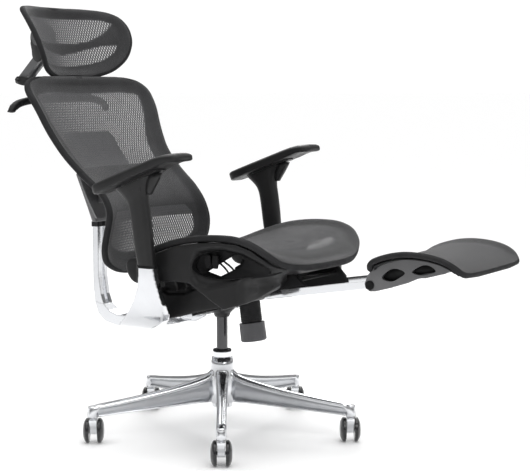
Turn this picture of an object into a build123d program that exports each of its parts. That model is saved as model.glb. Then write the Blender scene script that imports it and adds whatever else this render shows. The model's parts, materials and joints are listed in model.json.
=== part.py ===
from build123d import *
import math
import os

os.makedirs("parts", exist_ok=True)

# ---------------------------------------------------------------------------
# Reclining mesh office chair with a pull-out footrest.
# Frame: +Z up, the chair faces -Y, the occupant's left is +X, the origin is on
# the floor on the swivel axis. Millimetres. Stored reclined, footrest out.
# ---------------------------------------------------------------------------

# --- driving dimensions ---
BASE_R = 330.0            # swivel axis to caster stem
LEG_ANGLES = [213.0, 285.0, 357.0, 69.0, 141.0]
WHEEL_R = 30.0            # caster wheel radius
WHEEL_W = 15.0            # width of one wheel
WHEEL_GAP = 20.6          # between the two wheels of a caster
TRAIL = 10.0              # stem axis to axle, level
STEM_R = 5.5
HUB_BORE_R = 25.0
TUBE_R = 22.5             # outer tube of the lift above the hub
CYL_R = 14.0              # gas cylinder
ROD_R = 5.0
PIVOT_Y, PIVOT_Z = 58.0, 338.0       # recline shaft
SEAT_PIVOT_Y, SEAT_PIVOT_Z = -104.0, 359.0
RUN = 0.05                # running clearance, radial
RAIL_SLOPE = 9.4          # degrees, rails rise to the front
RAIL_X = 103.0
RAIL_FRONT = (-484.0, 425.0)         # rail hinge eye, y z
ARM_X = 285.5             # arm post centre
PAD_X = 294.0             # arm pad centre
PAD_TILT = 20.5           # arm pads and back tip back together
BACK_RIM_R = 7.5
SEAT_RIM_R = 8.0
HEAD_RIM_R = 6.5
FOOT_RIM_R = 6.0

parts = []


def keep(builder, name):
    """Label a finished piece and write it."""
    builder.part.label = name
    export_step(builder.part, "parts/%s.step" % name)
    parts.append(name)


def corner_radii(pts):
    """The largest tangent arcs that the runs of a path leave room for."""
    v = [Vector(*p) for p in pts]
    radii = []
    for a, b, c in zip(v[:-2], v[1:-1], v[2:]):
        turn = math.radians((b - a).get_angle(c - b))
        run = min((b - a).length, (c - b).length)
        radii.append(min(400.0, 0.45 * run / math.tan(max(turn, 0.02) / 2)))
    return radii


def rim(half, radius):
    """Closed tube from the half loop of a rim: points from the middle of the
    top to the middle of the bottom, mirrored on the plane x = 0."""
    with BuildPart() as tube:
        with BuildLine() as path:
            FilletPolyline(*half, radius=corner_radii(half))
        with BuildSketch(Plane(origin=path.line @ 0, z_dir=path.line % 0)):
            Circle(radius)
        sweep()
        mirror(about=Plane.YZ)
    return tube


def sheet(rows, thick):
    """Thin closed solid over a grid of points."""
    face = Face.make_surface_from_array_of_points(
        [[Vector(*p) for p in row] for row in rows], tol=0.05)
    with BuildPart() as solid:
        thicken(face, amount=thick / 2, both=True)
    return solid


def cross_row(w, ye, ze, yc, zc, n=7):
    """One row of a sheet: edges at x = -w and w, bowed to yc, zc in the middle."""
    row = []
    for i in range(n):
        t = -1 + 2 * i / (n - 1)
        row.append((w * t, yc + (ye - yc) * t * t, zc + (ze - zc) * t * t))
    return row


def yz_plane(x):
    """Sketch plane at x: local x is row +Y, local y is row +Z, normal +X."""
    return Plane(origin=(x, 0, 0), x_dir=(0, 1, 0), z_dir=(1, 0, 0))


def xz_plane(y):
    """Sketch plane at y: local x is row +X, local y is row +Z, normal -Y."""
    return Plane(origin=(0, y, 0), x_dir=(1, 0, 0), z_dir=(0, -1, 0))


# ---------------------------------------------------------------------------
# Five-star base, lift column, casters
# ---------------------------------------------------------------------------
# leg stations: radius, top z, bottom z, half widths of top, web and foot
LEG_STATIONS = [
    (27.0, 160.0, 83.0, 17.0, 8.0, 15.0),
    (48.0, 147.0, 82.5, 15.5, 7.0, 14.0),
    (90.0, 134.0, 80.5, 14.0, 6.0, 13.0),
    (150.0, 122.0, 77.0, 12.5, 5.0, 12.0),
    (230.0, 108.0, 72.0, 11.5, 5.0, 11.0),
    (322.0, 94.5, 65.5, 11.5, 5.5, 11.0),
]

with BuildPart() as star_base:
    with BuildSketch(Plane.XZ):
        with BuildLine():
            Polyline((HUB_BORE_R, 83), (37, 83), (37, 118), (34, 140),
                     (30, 160), (27.6, 176), (26.8, 194.5), (HUB_BORE_R, 195),
                     close=True)
        make_face()
    revolve(axis=Axis.Z)
    for ang in LEG_ANGLES:
        a = math.radians(ang)
        for (r, zt, zb, wt, ww, wf) in LEG_STATIONS:
            h = zt - zb
            plane = Plane(origin=(r * math.cos(a), r * math.sin(a), 0),
                          x_dir=(-math.sin(a), math.cos(a), 0),
                          z_dir=(math.cos(a), math.sin(a), 0))
            with BuildSketch(plane):
                with BuildLine():
                    Polyline((-0.35 * wt, zt), (0.35 * wt, zt),
                             (wt, zt - 0.10 * h), (wt, zt - 0.20 * h),
                             (ww, zt - 0.30 * h), (ww, zb + 0.20 * h),
                             (wf, zb + 0.12 * h), (wf, zb),
                             (-wf, zb), (-wf, zb + 0.12 * h),
                             (-ww, zb + 0.20 * h), (-ww, zt - 0.30 * h),
                             (-wt, zt - 0.20 * h), (-wt, zt - 0.10 * h),
                             close=True)
                make_face()
        loft(ruled=True)
        with Locations((BASE_R * math.cos(a), BASE_R * math.sin(a), 78.5)):
            Cylinder(13.0, 33.0)
        with Locations((BASE_R * math.cos(a), BASE_R * math.sin(a), 75.0)):
            Cylinder(STEM_R + RUN, 26.0, mode=Mode.SUBTRACT)
    with Locations((0, 0, 139)):
        Cylinder(HUB_BORE_R, 112.2, mode=Mode.SUBTRACT)
keep(star_base, "star_base")

with BuildPart() as column_tube:
    with BuildSketch(Plane.XZ):
        with BuildLine():
            Polyline((0, 70), (HUB_BORE_R, 70), (HUB_BORE_R, 195),
                     (TUBE_R, 195), (TUBE_R, 209), (19.5, 209), (19.5, 74),
                     (0, 74), close=True)
        make_face()
    revolve(axis=Axis.Z)
keep(column_tube, "column_tube")

with BuildPart() as column_bushing:
    with BuildSketch(Plane.XZ):
        with BuildLine():
            Polyline((CYL_R + RUN, 172), (19.5, 172), (19.5, 209),
                     (23.2, 209), (23.2, 212.5), (22.0, 214),
                     (CYL_R + RUN, 214), close=True)
        make_face()
    revolve(axis=Axis.Z)
keep(column_bushing, "column_bushing")

with BuildPart() as thrust_bearing:
    with Locations((0, 0, 76.8)):
        Cylinder(15.0, 5.6)
    with Locations((0, 0, 76.8)):
        Cylinder(6.5, 5.6, mode=Mode.SUBTRACT)
keep(thrust_bearing, "thrust_bearing")

with BuildPart() as piston_rod:
    with BuildSketch(Plane.XZ):
        with BuildLine():
            Polyline((0, 75), (ROD_R, 75), (ROD_R, 80), (11, 80), (11, 83.5),
                     (ROD_R, 83.5), (ROD_R, 189), (10.9, 189), (10.9, 197),
                     (0, 197), close=True)
        make_face()
    revolve(axis=Axis.Z)
keep(piston_rod, "piston_rod")

# casters: all turned one way, with the axles parallel, wheels trail
AX = Vector(math.sin(math.radians(33)), -math.cos(math.radians(33)), 0)
TR = Vector(math.cos(math.radians(33)), math.sin(math.radians(33)), 0)
for k, ang in enumerate(LEG_ANGLES, 1):
    a = math.radians(ang)
    stem = Vector(BASE_R * math.cos(a), BASE_R * math.sin(a), 0)
    axle = stem + TR * TRAIL + Vector(0, 0, WHEEL_R)
    # local frame of the body: x = along the trail, y = up, z = along the axle
    side = Plane(origin=axle - AX * 9.2, x_dir=TR, z_dir=AX)
    with BuildPart() as caster_body:
        with BuildSketch(side):
            with BuildLine():
                Polyline((-23, 29.5), (-23.5, 24), (-20, 16), (-12, 4),
                         (-8, -6), (0, -10), (8, -6), (11, 4), (14, 18),
                         (14, 29.5), close=True)
            make_face()
            Circle(4.0 + RUN, mode=Mode.SUBTRACT)
        extrude(amount=18.4)
        with BuildSketch(Plane(origin=stem + Vector(0, 0, 58.0))):
            Circle(STEM_R)
        extrude(amount=28.0)
        with BuildSketch(Plane(origin=stem + Vector(0, 0, 57.0))):
            Circle(9.0)
        extrude(amount=4.6)
        with BuildSketch(Plane(origin=axle - AX * 10.0, x_dir=TR, z_dir=AX)):
            Circle(4.0 + RUN)
        extrude(amount=20.0, mode=Mode.SUBTRACT)
    keep(caster_body, "caster_body_%d" % k)
    with BuildPart() as caster_wheels:
        half = WHEEL_GAP / 2
        with BuildSketch(Plane(origin=axle, x_dir=AX, z_dir=AX.cross(Vector(0, 0, 1)))):
            with BuildLine():
                Polyline((-half - WHEEL_W, 0), (half + WHEEL_W, 0),
                         (half + WHEEL_W, 9), (half + WHEEL_W - 1, 18),
                         (half + WHEEL_W - 4, 25), (half + WHEEL_W - 6.5, 28.6),
                         (half + WHEEL_W - 8, WHEEL_R), (half + 1.5, WHEEL_R),
                         (half, 28.5), (half, 4.0), (-half, 4.0),
                         (-half, 28.5), (-half - 1.5, WHEEL_R),
                         (-half - WHEEL_W + 8, WHEEL_R),
                         (-half - WHEEL_W + 6.5, 28.6),
                         (-half - WHEEL_W + 4, 25), (-half - WHEEL_W + 1, 18),
                         (-half - WHEEL_W, 9), close=True)
            make_face()
        revolve(axis=Axis(axle, AX))
    keep(caster_wheels, "caster_wheels_%d" % k)

# ---------------------------------------------------------------------------
# Lift cylinder and tilt mechanism
# ---------------------------------------------------------------------------
with BuildPart() as gas_cylinder:
    with BuildSketch(Plane.XZ):
        with BuildLine():
            Polyline((ROD_R + RUN, 150), (CYL_R, 150), (CYL_R, 332), (0, 332),
                     (0, 316), (11, 316), (11, 165), (ROD_R + RUN, 165),
                     close=True)
        make_face()
    revolve(axis=Axis.Z)
keep(gas_cylinder, "gas_cylinder")

HOUSE_X = 60.0
# tension adjuster: a ribbed boot above, the knob below, axis leaning forward
KN_DIR = Vector(0, -0.139, -0.990)
KN_TOP = Vector(0, -80.0, 345.0)


def knob_plane(s):
    """Sketch plane across the adjuster's axis, s down from its top."""
    return Plane(origin=KN_TOP + KN_DIR * s, x_dir=(1, 0, 0), z_dir=KN_DIR)


with BuildPart() as mechanism_housing:
    with BuildSketch(yz_plane(-HOUSE_X)):
        with BuildLine():
            Polyline((-118, 352), (-115, 368), (-100, 374), (10, 374),
                     (38, 366), (38, 322), (20, 318), (-36, 320), (-46, 346),
                     (-112, 346), close=True)
        make_face()
    extrude(amount=2 * HOUSE_X)
    fillet(mechanism_housing.edges().filter_by(Axis.X), radius=3.0)
    # ears that hold the recline shaft
    for x0 in (-47.0, 37.0):
        with BuildSketch(yz_plane(x0)):
            with BuildLine():
                Polyline((20, 322), (PIVOT_Y, 322), (PIVOT_Y + 14, 330),
                         (PIVOT_Y + 15, 345), (PIVOT_Y, 354), (20, 366),
                         close=True)
            make_face()
        extrude(amount=10.0)
    # cone over the lift cylinder
    with BuildSketch(Plane.XZ):
        with BuildLine():
            Polyline((0, 324), (36, 324), (32, 316), (22, 306), (18, 296),
                     (0, 296), close=True)
        make_face()
    revolve(axis=Axis.Z)
    with Locations((0, 0, 314)):
        Cylinder(CYL_R, 36.2, mode=Mode.SUBTRACT)
    # shaft bores
    with BuildSketch(yz_plane(-70)):
        with Locations((PIVOT_Y, PIVOT_Z), (SEAT_PIVOT_Y, SEAT_PIVOT_Z)):
            Circle(6.0)
    extrude(amount=140, mode=Mode.SUBTRACT)
    # well for the tension spring and screw
    with BuildSketch(knob_plane(-22.0)):
        Circle(19.0)
    extrude(amount=40.0, mode=Mode.SUBTRACT)
keep(mechanism_housing, "mechanism_housing")

with BuildPart() as pivot_shafts:
    with BuildSketch(yz_plane(-50)):
        with Locations((PIVOT_Y, PIVOT_Z)):
            Circle(6.0)
    extrude(amount=100)
    with BuildSketch(yz_plane(-84)):
        with Locations((SEAT_PIVOT_Y, SEAT_PIVOT_Z)):
            Circle(6.0)
    extrude(amount=168)
keep(pivot_shafts, "pivot_shafts")

with BuildPart() as spring_boot:
    for i in range(9):
        with BuildSketch(knob_plane(8.0 + 5.2 * i)):
            Circle(26.5)
        extrude(amount=3.4)
    with BuildSketch(knob_plane(-2.0)):
        Circle(25.0)
    extrude(amount=58.5)
    with BuildSketch(knob_plane(-8.0)):
        Circle(19.0)
    extrude(amount=70.0, mode=Mode.SUBTRACT)
    # seated against the housing
    add(mechanism_housing.part, mode=Mode.SUBTRACT)
keep(spring_boot, "spring_boot")

with BuildPart() as tension_spring:
    # sleeve round the adjusting screw
    with BuildSketch(knob_plane(-21.0)):
        Circle(15.0)
        Circle(9.0, mode=Mode.SUBTRACT)
    extrude(amount=76.0)
keep(tension_spring, "tension_spring")

with BuildPart() as tension_knob:
    with BuildSketch(knob_plane(57.0)):
        Circle(31.5)
    extrude(amount=46.0, taper=-0.8)
    fillet(tension_knob.edges().group_by(Axis.Z)[0], radius=5.0)
    for i in range(24):
        t = 2 * math.pi * i / 24
        with BuildSketch(knob_plane(61.0)):
            with Locations((33.4 * math.cos(t), 33.4 * math.sin(t))):
                Circle(1.9)
        extrude(amount=50.0, mode=Mode.SUBTRACT)
    with BuildSketch(knob_plane(-18.0)):
        Circle(5.0)
    extrude(amount=77.0)
keep(tension_knob, "tension_knob")

# ---------------------------------------------------------------------------
# Back carrier: cast yoke, arm supports
# ---------------------------------------------------------------------------
# side outline of the cast spine: outer edge, then inner edge
SPINE_OUT = [(391, 585), (391, 410), (391, 385), (391, 350), (386, 305),
             (375, 275), (352, 257), (318, 249), (280, 248), (235, 252),
             (190, 261), (140, 278), (95, 300), (70, 320)]
SPINE_IN = [(60, 350), (96, 330), (140, 305), (190, 286), (235, 277),
            (280, 275), (312, 276), (340, 285), (358, 301), (367, 325),
            (374, 370), (375, 385), (375, 410), (375, 585)]

with BuildPart() as back_yoke:
    # one wide bar low down, two bars above the bend
    with BuildSketch(yz_plane(-19.0)):
        with BuildLine():
            Polyline(*(SPINE_OUT[4:] + SPINE_IN[:9]), close=True)
        make_face()
    extrude(amount=38.0)
    for x0 in (-18.5, 6.5):
        with BuildSketch(yz_plane(x0)):
            with BuildLine():
                Polyline(*(SPINE_OUT[:6] + SPINE_IN[8:]), close=True)
            make_face()
        extrude(amount=12.0)
    with BuildSketch(yz_plane(-33.0)):
        with Locations((PIVOT_Y, PIVOT_Z)):
            Circle(15.5)
    extrude(amount=66.0)
    # saddle that the arm supports bolt to
    with BuildSketch(yz_plane(-34.0)):
        with BuildLine():
            Polyline((112, 291), (165, 268), (165, 290), (112, 312), close=True)
        make_face()
    extrude(amount=68.0)
    with BuildSketch(yz_plane(-40)):
        with Locations((PIVOT_Y, PIVOT_Z)):
            Circle(6.0 + RUN)
    extrude(amount=80, mode=Mode.SUBTRACT)
keep(back_yoke, "back_yoke")

# arm supports: front outline band crossed with a side outline
ARM_BAND_OUT = [(34, 268), (95, 268), (160, 276), (220, 294), (262, 324),
                (285, 364), (293, 407), (296, 448), (296, 462)]
ARM_BAND_IN = [(275, 462), (275, 448), (273, 410), (265, 372), (246, 339),
               (210, 311), (160, 295), (95, 288), (34, 288)]
ARM_SIDE = [(-1, 462), (-6, 430), (-14, 395), (-19, 360), (-15, 335),
            (0, 318), (30, 302), (75, 284), (112, 266), (165, 266),
            (165, 289), (140, 302), (112, 318), (86, 338), (62, 365),
            (45, 400), (39, 430), (38.5, 462)]
for sgn, side_name in ((-1, "right"), (1, "left")):
    with BuildPart() as arm_support:
        with BuildSketch(xz_plane(200)):
            with BuildLine():
                Spline(*[(sgn * x, z) for x, z in ARM_BAND_OUT])
                Line((sgn * 296, 462), (sgn * 275, 462))
                Spline(*[(sgn * x, z) for x, z in ARM_BAND_IN])
                Line((sgn * 34, 288), (sgn * 34, 268))
            make_face()
        extrude(amount=260)
        with BuildSketch(yz_plane(-330)):
            with BuildLine():
                Polyline(*ARM_SIDE, close=True)
            make_face()
        extrude(amount=660, mode=Mode.INTERSECT)
    keep(arm_support, "arm_support_%s" % side_name)

# ---------------------------------------------------------------------------
# Arms
# ---------------------------------------------------------------------------
TILT = math.radians(PAD_TILT)


def sleeve_top(y):
    """Point on the sloping top of an arm sleeve, just under the plate."""
    p = PAD_MID - PAD_UP * 7.9
    return (y, p.Z - (y - p.Y) * math.tan(TILT))


PAD_DIR = Vector(0, -math.cos(TILT), math.sin(TILT))   # towards the pad's tip
PAD_UP = Vector(0, math.sin(TILT), math.cos(TILT))
PAD_MID = Vector(0, 28.5, 662.0)                          # mid underside of pad
for sgn, side_name in ((-1, "right"), (1, "left")):
    cx = sgn * ARM_X
    # inner stem, fixed in the arm support
    with BuildPart() as arm_stem:
        with BuildSketch(yz_plane(cx - 7.0)):
            with Locations((26.0, 525.0)):
                Rectangle(16, 126)
        extrude(amount=14.0)
    keep(arm_stem, "arm_stem_%s" % side_name)
    # outer sleeve: narrow below, flared to a T under the pad
    with BuildPart() as arm_sleeve:
        with BuildSketch(yz_plane(cx - 12.5)):
            with BuildLine():
                Polyline((-1, 462.5), (39, 462.5), (50, 500), (59, 552),
                         (65, 584), (77, 602), (103, 622),
                         sleeve_top(103), sleeve_top(-8), (2, 662),
                         (15, 624), (14.5, 600), (6.5, 539), close=True)
            make_face()
        extrude(amount=25.0)
        fillet(arm_sleeve.edges().filter_by(Axis.X).group_by(Axis.Z)[0:1][0], radius=2.0)
        with BuildSketch(yz_plane(cx - 7.4)):
            with Locations((26.0, 530.0)):
                Rectangle(16.8, 142)
        extrude(amount=14.8, mode=Mode.SUBTRACT)
        # pocket for the height button, on the outer side under the pad
        with BuildSketch(yz_plane(cx + sgn * 5.0)):
            with Locations((38.0, 631.0)):
                Rectangle(22.6, 12.6)
        extrude(amount=sgn * 9.0, mode=Mode.SUBTRACT)
        # bore for the pin that the plate turns on
        with BuildSketch(Plane(origin=Vector(cx, PAD_MID.Y, PAD_MID.Z) - PAD_UP * 5.0,
                               x_dir=(1, 0, 0), z_dir=PAD_UP)):
            Circle(6.0 + RUN)
        extrude(amount=-13.0, mode=Mode.SUBTRACT)
    keep(arm_sleeve, "arm_sleeve_%s" % side_name)
    with BuildPart() as arm_button:
        with BuildSketch(yz_plane(cx + sgn * 9.0)):
            with Locations((38.0, 631.0)):
                RectangleRounded(22.0, 12.0, 3.0)
        extrude(amount=sgn * 6.0)
    keep(arm_button, "arm_button_%s" % side_name)
    # plate that turns on the sleeve and that the pad slides on
    plate_plane = Plane(origin=Vector(cx, PAD_MID.Y, PAD_MID.Z) - PAD_UP * 7.6,
                        x_dir=(1, 0, 0), z_dir=PAD_UP)
    with BuildPart() as arm_plate:
        with BuildSketch(plate_plane):
            RectangleRounded(44, 118, 12)
        extrude(amount=5.0)
        with BuildSketch(plate_plane):
            Circle(6.0)
        extrude(amount=-9.0)
    keep(arm_plate, "arm_plate_%s" % side_name)
    pad_plane = Plane(origin=Vector(sgn * PAD_X, PAD_MID.Y, PAD_MID.Z) - PAD_UP * 2.3,
                      x_dir=(1, 0, 0), z_dir=PAD_UP)
    with BuildPart() as arm_pad:
        with BuildSketch(pad_plane):
            RectangleRounded(88, 258, 36)
        extrude(amount=19.0)
        fillet(arm_pad.faces().sort_by(Axis((0, 0, 0), (0, math.sin(TILT), math.cos(TILT))))[-1].edges(), radius=7.0)
    keep(arm_pad, "arm_pad_%s" % side_name)

# ---------------------------------------------------------------------------
# Back frame, mesh, lumbar plate, spine cover, hanger
# ---------------------------------------------------------------------------
BACK_HALF = [(0, 450, 884), (104, 450, 884), (180, 438, 884), (225, 427, 875),
             (246, 409, 855), (241.5, 382, 814), (227.5, 357, 755),
             (211, 323, 697), (201, 268, 643), (194, 218, 604),
             (199.5, 191, 563), (216.5, 188, 519), (221.5, 195.5, 477),
             (202, 207, 441), (151, 219, 418), (88, 232, 405),
             (0, 232, 405)]
back_rim = rim(BACK_HALF, BACK_RIM_R)
keep(back_rim, "back_rim")

BACK_MID = [(893, 450, 228, 432), (873, 450, 228, 427), (856, 440, 240, 409),
            (815, 420, 241, 383), (756, 395, 227, 357), (698, 359, 211, 323),
            (643, 306, 201, 268), (604, 260, 194, 218), (563, 235, 199, 191),
            (519, 230, 216, 188), (477, 235, 221, 195), (452, 236, 212, 203),
            (430, 236, 190, 211), (396, 234, 170, 216)]
back_rows = []
for z, ym, xr, yr in BACK_MID:
    # each row bows from its middle out through the rim and a little past it
    back_rows.append(cross_row(250, ym + (yr - ym) * (250 / xr) ** 2, z, ym, z))
back_mesh_sheet = sheet(back_rows, 2.4)
with BuildPart() as back_mesh:
    add(back_mesh_sheet.part)
    with BuildSketch(xz_plane(600)):
        with BuildLine():
            Polyline(*[(x, z) for x, y, z in BACK_HALF],
                     *[(-x, z) for x, y, z in BACK_HALF[-2:0:-1]], close=True)
        make_face()
        offset(amount=-(BACK_RIM_R + 3.0))
    extrude(amount=560, mode=Mode.INTERSECT)
keep(back_mesh, "back_mesh")

# lumbar support: full-width moulding close behind the mesh at the waist
lumbar_rows = [
    cross_row(199, 294, 655, 340, 655), cross_row(195, 269, 632, 316, 632),
    cross_row(191, 234, 604, 284, 604), cross_row(194, 212, 577, 268, 577),
    cross_row(203, 200.5, 548, 258.5, 548), cross_row(208, 199, 530, 257, 530),
]
lumbar_support = sheet(lumbar_rows, 5.0)
keep(lumbar_support, "lumbar_support")

# tapering plate up the middle of the back
plate_rows = [
    cross_row(84, 419, 747, 419, 747), cross_row(95, 410, 730, 412, 730),
    cross_row(101, 391, 697, 393, 697), cross_row(109, 369, 655, 369, 655),
    cross_row(103, 360, 620, 358, 620), cross_row(80, 357, 575, 354, 575),
    cross_row(46, 358, 528, 355, 528),
]
spine_plate = sheet(plate_rows, 6.0)
keep(spine_plate, "spine_plate")

# moulded shell on the cast spine, with two sockets for its bars
with BuildPart() as spine_cover:
    for z, w, yf, yr, bulge in ((516, 32, 369, 380, 17), (580, 68, 363, 378, 26),
                                (645, 100, 366, 380, 26)):
        with BuildSketch(Plane.XY.offset(z)):
            with BuildLine():
                Line((-w, yf), (w, yf))
                Line((w, yf), (w, yr))
                ThreePointArc((w, yr), (0, yr + bulge), (-w, yr))
                Line((-w, yr), (-w, yf))
            make_face()
    loft()
    # brackets forward to the lumbar support
    for x0 in (-46, 34):
        with BuildSketch(yz_plane(x0)):
            with BuildLine():
                Polyline((266.5, 574), (368, 566), (368, 606), (282.5, 602), close=True)
            make_face()
        extrude(amount=12)
    for x in (-12.5, 12.5):
        with BuildSketch(Plane.XY.offset(500)):
            with Locations((x, 383)):
                Rectangle(12.8, 16.8)
        extrude(amount=138, mode=Mode.SUBTRACT)
    add(spine_plate.part, mode=Mode.SUBTRACT)
    add(lumbar_support.part, mode=Mode.SUBTRACT)
keep(spine_cover, "spine_cover")

with BuildPart() as spine_bushings:
    for x in (-12.5, 12.5):
        with BuildSketch(Plane.XY.offset(503)):
            with Locations((x, 383)):
                RectangleRounded(18, 24, 4)
        extrude(amount=13)
        with BuildSketch(Plane.XY.offset(503)):
            with Locations((x, 383)):
                Rectangle(12.1, 16.1)
        extrude(amount=13, mode=Mode.SUBTRACT)
keep(spine_bushings, "spine_bushings")

LINK_LO = (634.0, 882.0)
LINK_HI = (570.0, 945.0)

with BuildPart() as coat_hanger:
    with BuildSketch(xz_plane(560)):
        with BuildLine():
            Spline((-198, 803), (-188, 820), (-146, 836), (-60, 845), (0, 845),
                   (60, 845), (146, 836), (188, 820), (198, 803))
            Line((198, 803), (189, 801))
            Spline((189, 801), (178, 811), (142, 822), (60, 828), (0, 828),
                   (-60, 828), (-142, 822), (-178, 811), (-189, 801))
            Line((-189, 801), (-198, 803))
        make_face()
    extrude(amount=120)
    with BuildSketch(Plane.XY.offset(790)):
        with BuildLine():
            Spline((-205, 519), (-150, 506), (-60, 491), (0, 488), (60, 491),
                   (150, 506), (205, 519))
            Line((205, 519), (205, 505))
            Spline((205, 505), (150, 492), (60, 477), (0, 474), (-60, 477),
                   (-150, 492), (-205, 505))
            Line((-205, 505), (-205, 519))
        make_face()
    extrude(amount=70, mode=Mode.INTERSECT)
keep(coat_hanger, "coat_hanger")

with BuildPart() as top_bracket:
    # plate behind the top of the back, with the cheeks of the lower link pivot
    with BuildSketch(xz_plane(512)):
        with BuildLine():
            Polyline((-70, 842), (70, 842), (60, 884), (-60, 884), close=True)
        make_face()
    extrude(amount=50)
    with BuildSketch(yz_plane(-80)):
        with BuildLine():
            Polyline((452, 830), (478, 840), (484, 862), (468, 896),
                     (459, 896), (474, 862), (452, 838), close=True)
        make_face()
    extrude(amount=160, mode=Mode.INTERSECT)
    for x0 in (-24.0, 18.0):
        with BuildSketch(yz_plane(x0)):
            with BuildLine():
                Polyline((472, 846), (560, 860), (628, 870), (644, 875),
                         (647, 886), (640, 893), (626, 894), (560, 883),
                         (472, 868), close=True)
            make_face()
        extrude(amount=6.0)
    with BuildSketch(yz_plane(-30)):
        with Locations(LINK_LO):
            Circle(5.0)
    extrude(amount=60)
    add(coat_hanger.part, mode=Mode.SUBTRACT)
    add(back_rim.part, mode=Mode.SUBTRACT)
keep(top_bracket, "top_bracket")

# ---------------------------------------------------------------------------
# Headrest: link, block, rim, mesh
# ---------------------------------------------------------------------------
with BuildPart() as headrest_link:
    for x0 in (-17.0, 7.0):
        with BuildSketch(yz_plane(x0)):
            with Locations(((LINK_LO[0] + LINK_HI[0]) / 2,
                            (LINK_LO[1] + LINK_HI[1]) / 2)):
                SlotCenterToCenter(math.dist(LINK_LO, LINK_HI), 21,
                                   rotation=math.degrees(math.atan2(
                                       LINK_HI[1] - LINK_LO[1],
                                       LINK_HI[0] - LINK_LO[0])))
            with Locations(LINK_LO, LINK_HI):
                Circle(5.0 + RUN, mode=Mode.SUBTRACT)
        extrude(amount=10.0)
    with BuildSketch(yz_plane(-8.0)):
        with Locations(((LINK_LO[0] + LINK_HI[0]) / 2,
                        (LINK_LO[1] + LINK_HI[1]) / 2)):
            Rectangle(30, 10, rotation=math.degrees(math.atan2(
                LINK_HI[1] - LINK_LO[1], LINK_HI[0] - LINK_LO[0])))
    extrude(amount=16.0)
keep(headrest_link, "headrest_link")

HEAD_HALF = [(0, 535, 1066), (68, 535, 1066), (130, 515, 1065), (170, 489, 1061),
             (192, 462, 1048), (199, 438, 1022), (192.5, 421, 986),
             (172, 420, 944), (139, 438, 912), (96, 457, 897),
             (45, 471, 890.5), (0, 471, 890.5)]
headrest_rim = rim(HEAD_HALF, HEAD_RIM_R)
keep(headrest_rim, "headrest_rim")

head_rows = [
    cross_row(145, 504, 1053.5, 535, 1055), cross_row(177, 475, 1044, 532, 1044),
    cross_row(189.5, 443, 1021, 525, 1021), cross_row(180.5, 429, 986, 512, 986),
    cross_row(156, 432, 947, 500, 945), cross_row(122, 448, 922, 490, 920),
    cross_row(80, 464, 909, 484, 906), cross_row(38, 473, 902.5, 479, 902),
]
headrest_mesh = sheet(head_rows, 2.2)
keep(headrest_mesh, "headrest_mesh")

with BuildPart() as headrest_carrier:
    # bow behind the mesh
    with BuildSketch(Plane.XY.offset(972)):
        with BuildLine():
            Spline((-181, 441), (-120, 492), (-40, 522), (0, 525), (40, 522),
                   (120, 492), (181, 441))
            Line((181, 441), (190, 448))
            Spline((190, 448), (126, 503), (42, 535), (0, 539), (-42, 535),
                   (-126, 503), (-190, 448))
            Line((-190, 448), (-181, 441))
        make_face()
    extrude(amount=26)
    # cheeks and housing with the upper pivot pin
    for x0 in (-26.0, 19.0):
        with BuildSketch(yz_plane(x0)):
            with BuildLine():
                Polyline((556, 932), (574, 934), (582, 945), (578, 960),
                         (582, 985), (587, 1008), (582, 1026), (566, 1032),
                         (546, 1020), (530, 998), (530, 974), (546, 950),
                         close=True)
            make_face()
        extrude(amount=7.0)
    with BuildSketch(yz_plane(-19.0)):
        with BuildLine():
            Polyline((530, 974), (560, 978), (582, 985), (587, 1008),
                     (582, 1026), (566, 1032), (546, 1020), (530, 998),
                     close=True)
        make_face()
    extrude(amount=38.0)
    with BuildSketch(yz_plane(-19.5)):
        with Locations(LINK_HI):
            Circle(5.0)
    extrude(amount=39.0)
    add(headrest_rim.part, mode=Mode.SUBTRACT)
keep(headrest_carrier, "headrest_carrier")

# ---------------------------------------------------------------------------
# Seat: rim, mesh, side frames, front apron, carrier, rail guides
# ---------------------------------------------------------------------------
SEAT_HALF = [(0, 122, 450), (115, 122, 450), (186, 110, 452), (226, 84, 461),
             (243, 38, 482), (246, -40, 508), (243.5, -100, 517.5),
             (240, -155, 520.5), (238, -200, 518.5), (232, -239, 506),
             (212, -266, 482), (172, -283, 459.5), (110, -305, 450),
             (55, -318, 449), (0, -318, 449)]
seat_rim = rim(SEAT_HALF, SEAT_RIM_R)
keep(seat_rim, "seat_rim")

seat_rows = [
    cross_row(150, 104, 450, 111, 447), cross_row(206, 80, 459, 90, 444),
    cross_row(232.5, 35, 480, 38, 452), cross_row(236, -40, 506, -40, 476),
    cross_row(233.5, -100, 515.5, -100, 487), cross_row(230, -155, 518.5, -155, 493),
    cross_row(228, -198, 516.5, -203, 494), cross_row(221, -233, 504, -245, 490),
    cross_row(201, -257, 482.5, -280, 474), cross_row(160, -276, 463, -300, 459),
    cross_row(106, -293, 455.5, -307, 453.5),
]
seat_mesh = sheet(seat_rows, 2.6)
keep(seat_mesh, "seat_mesh")

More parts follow.
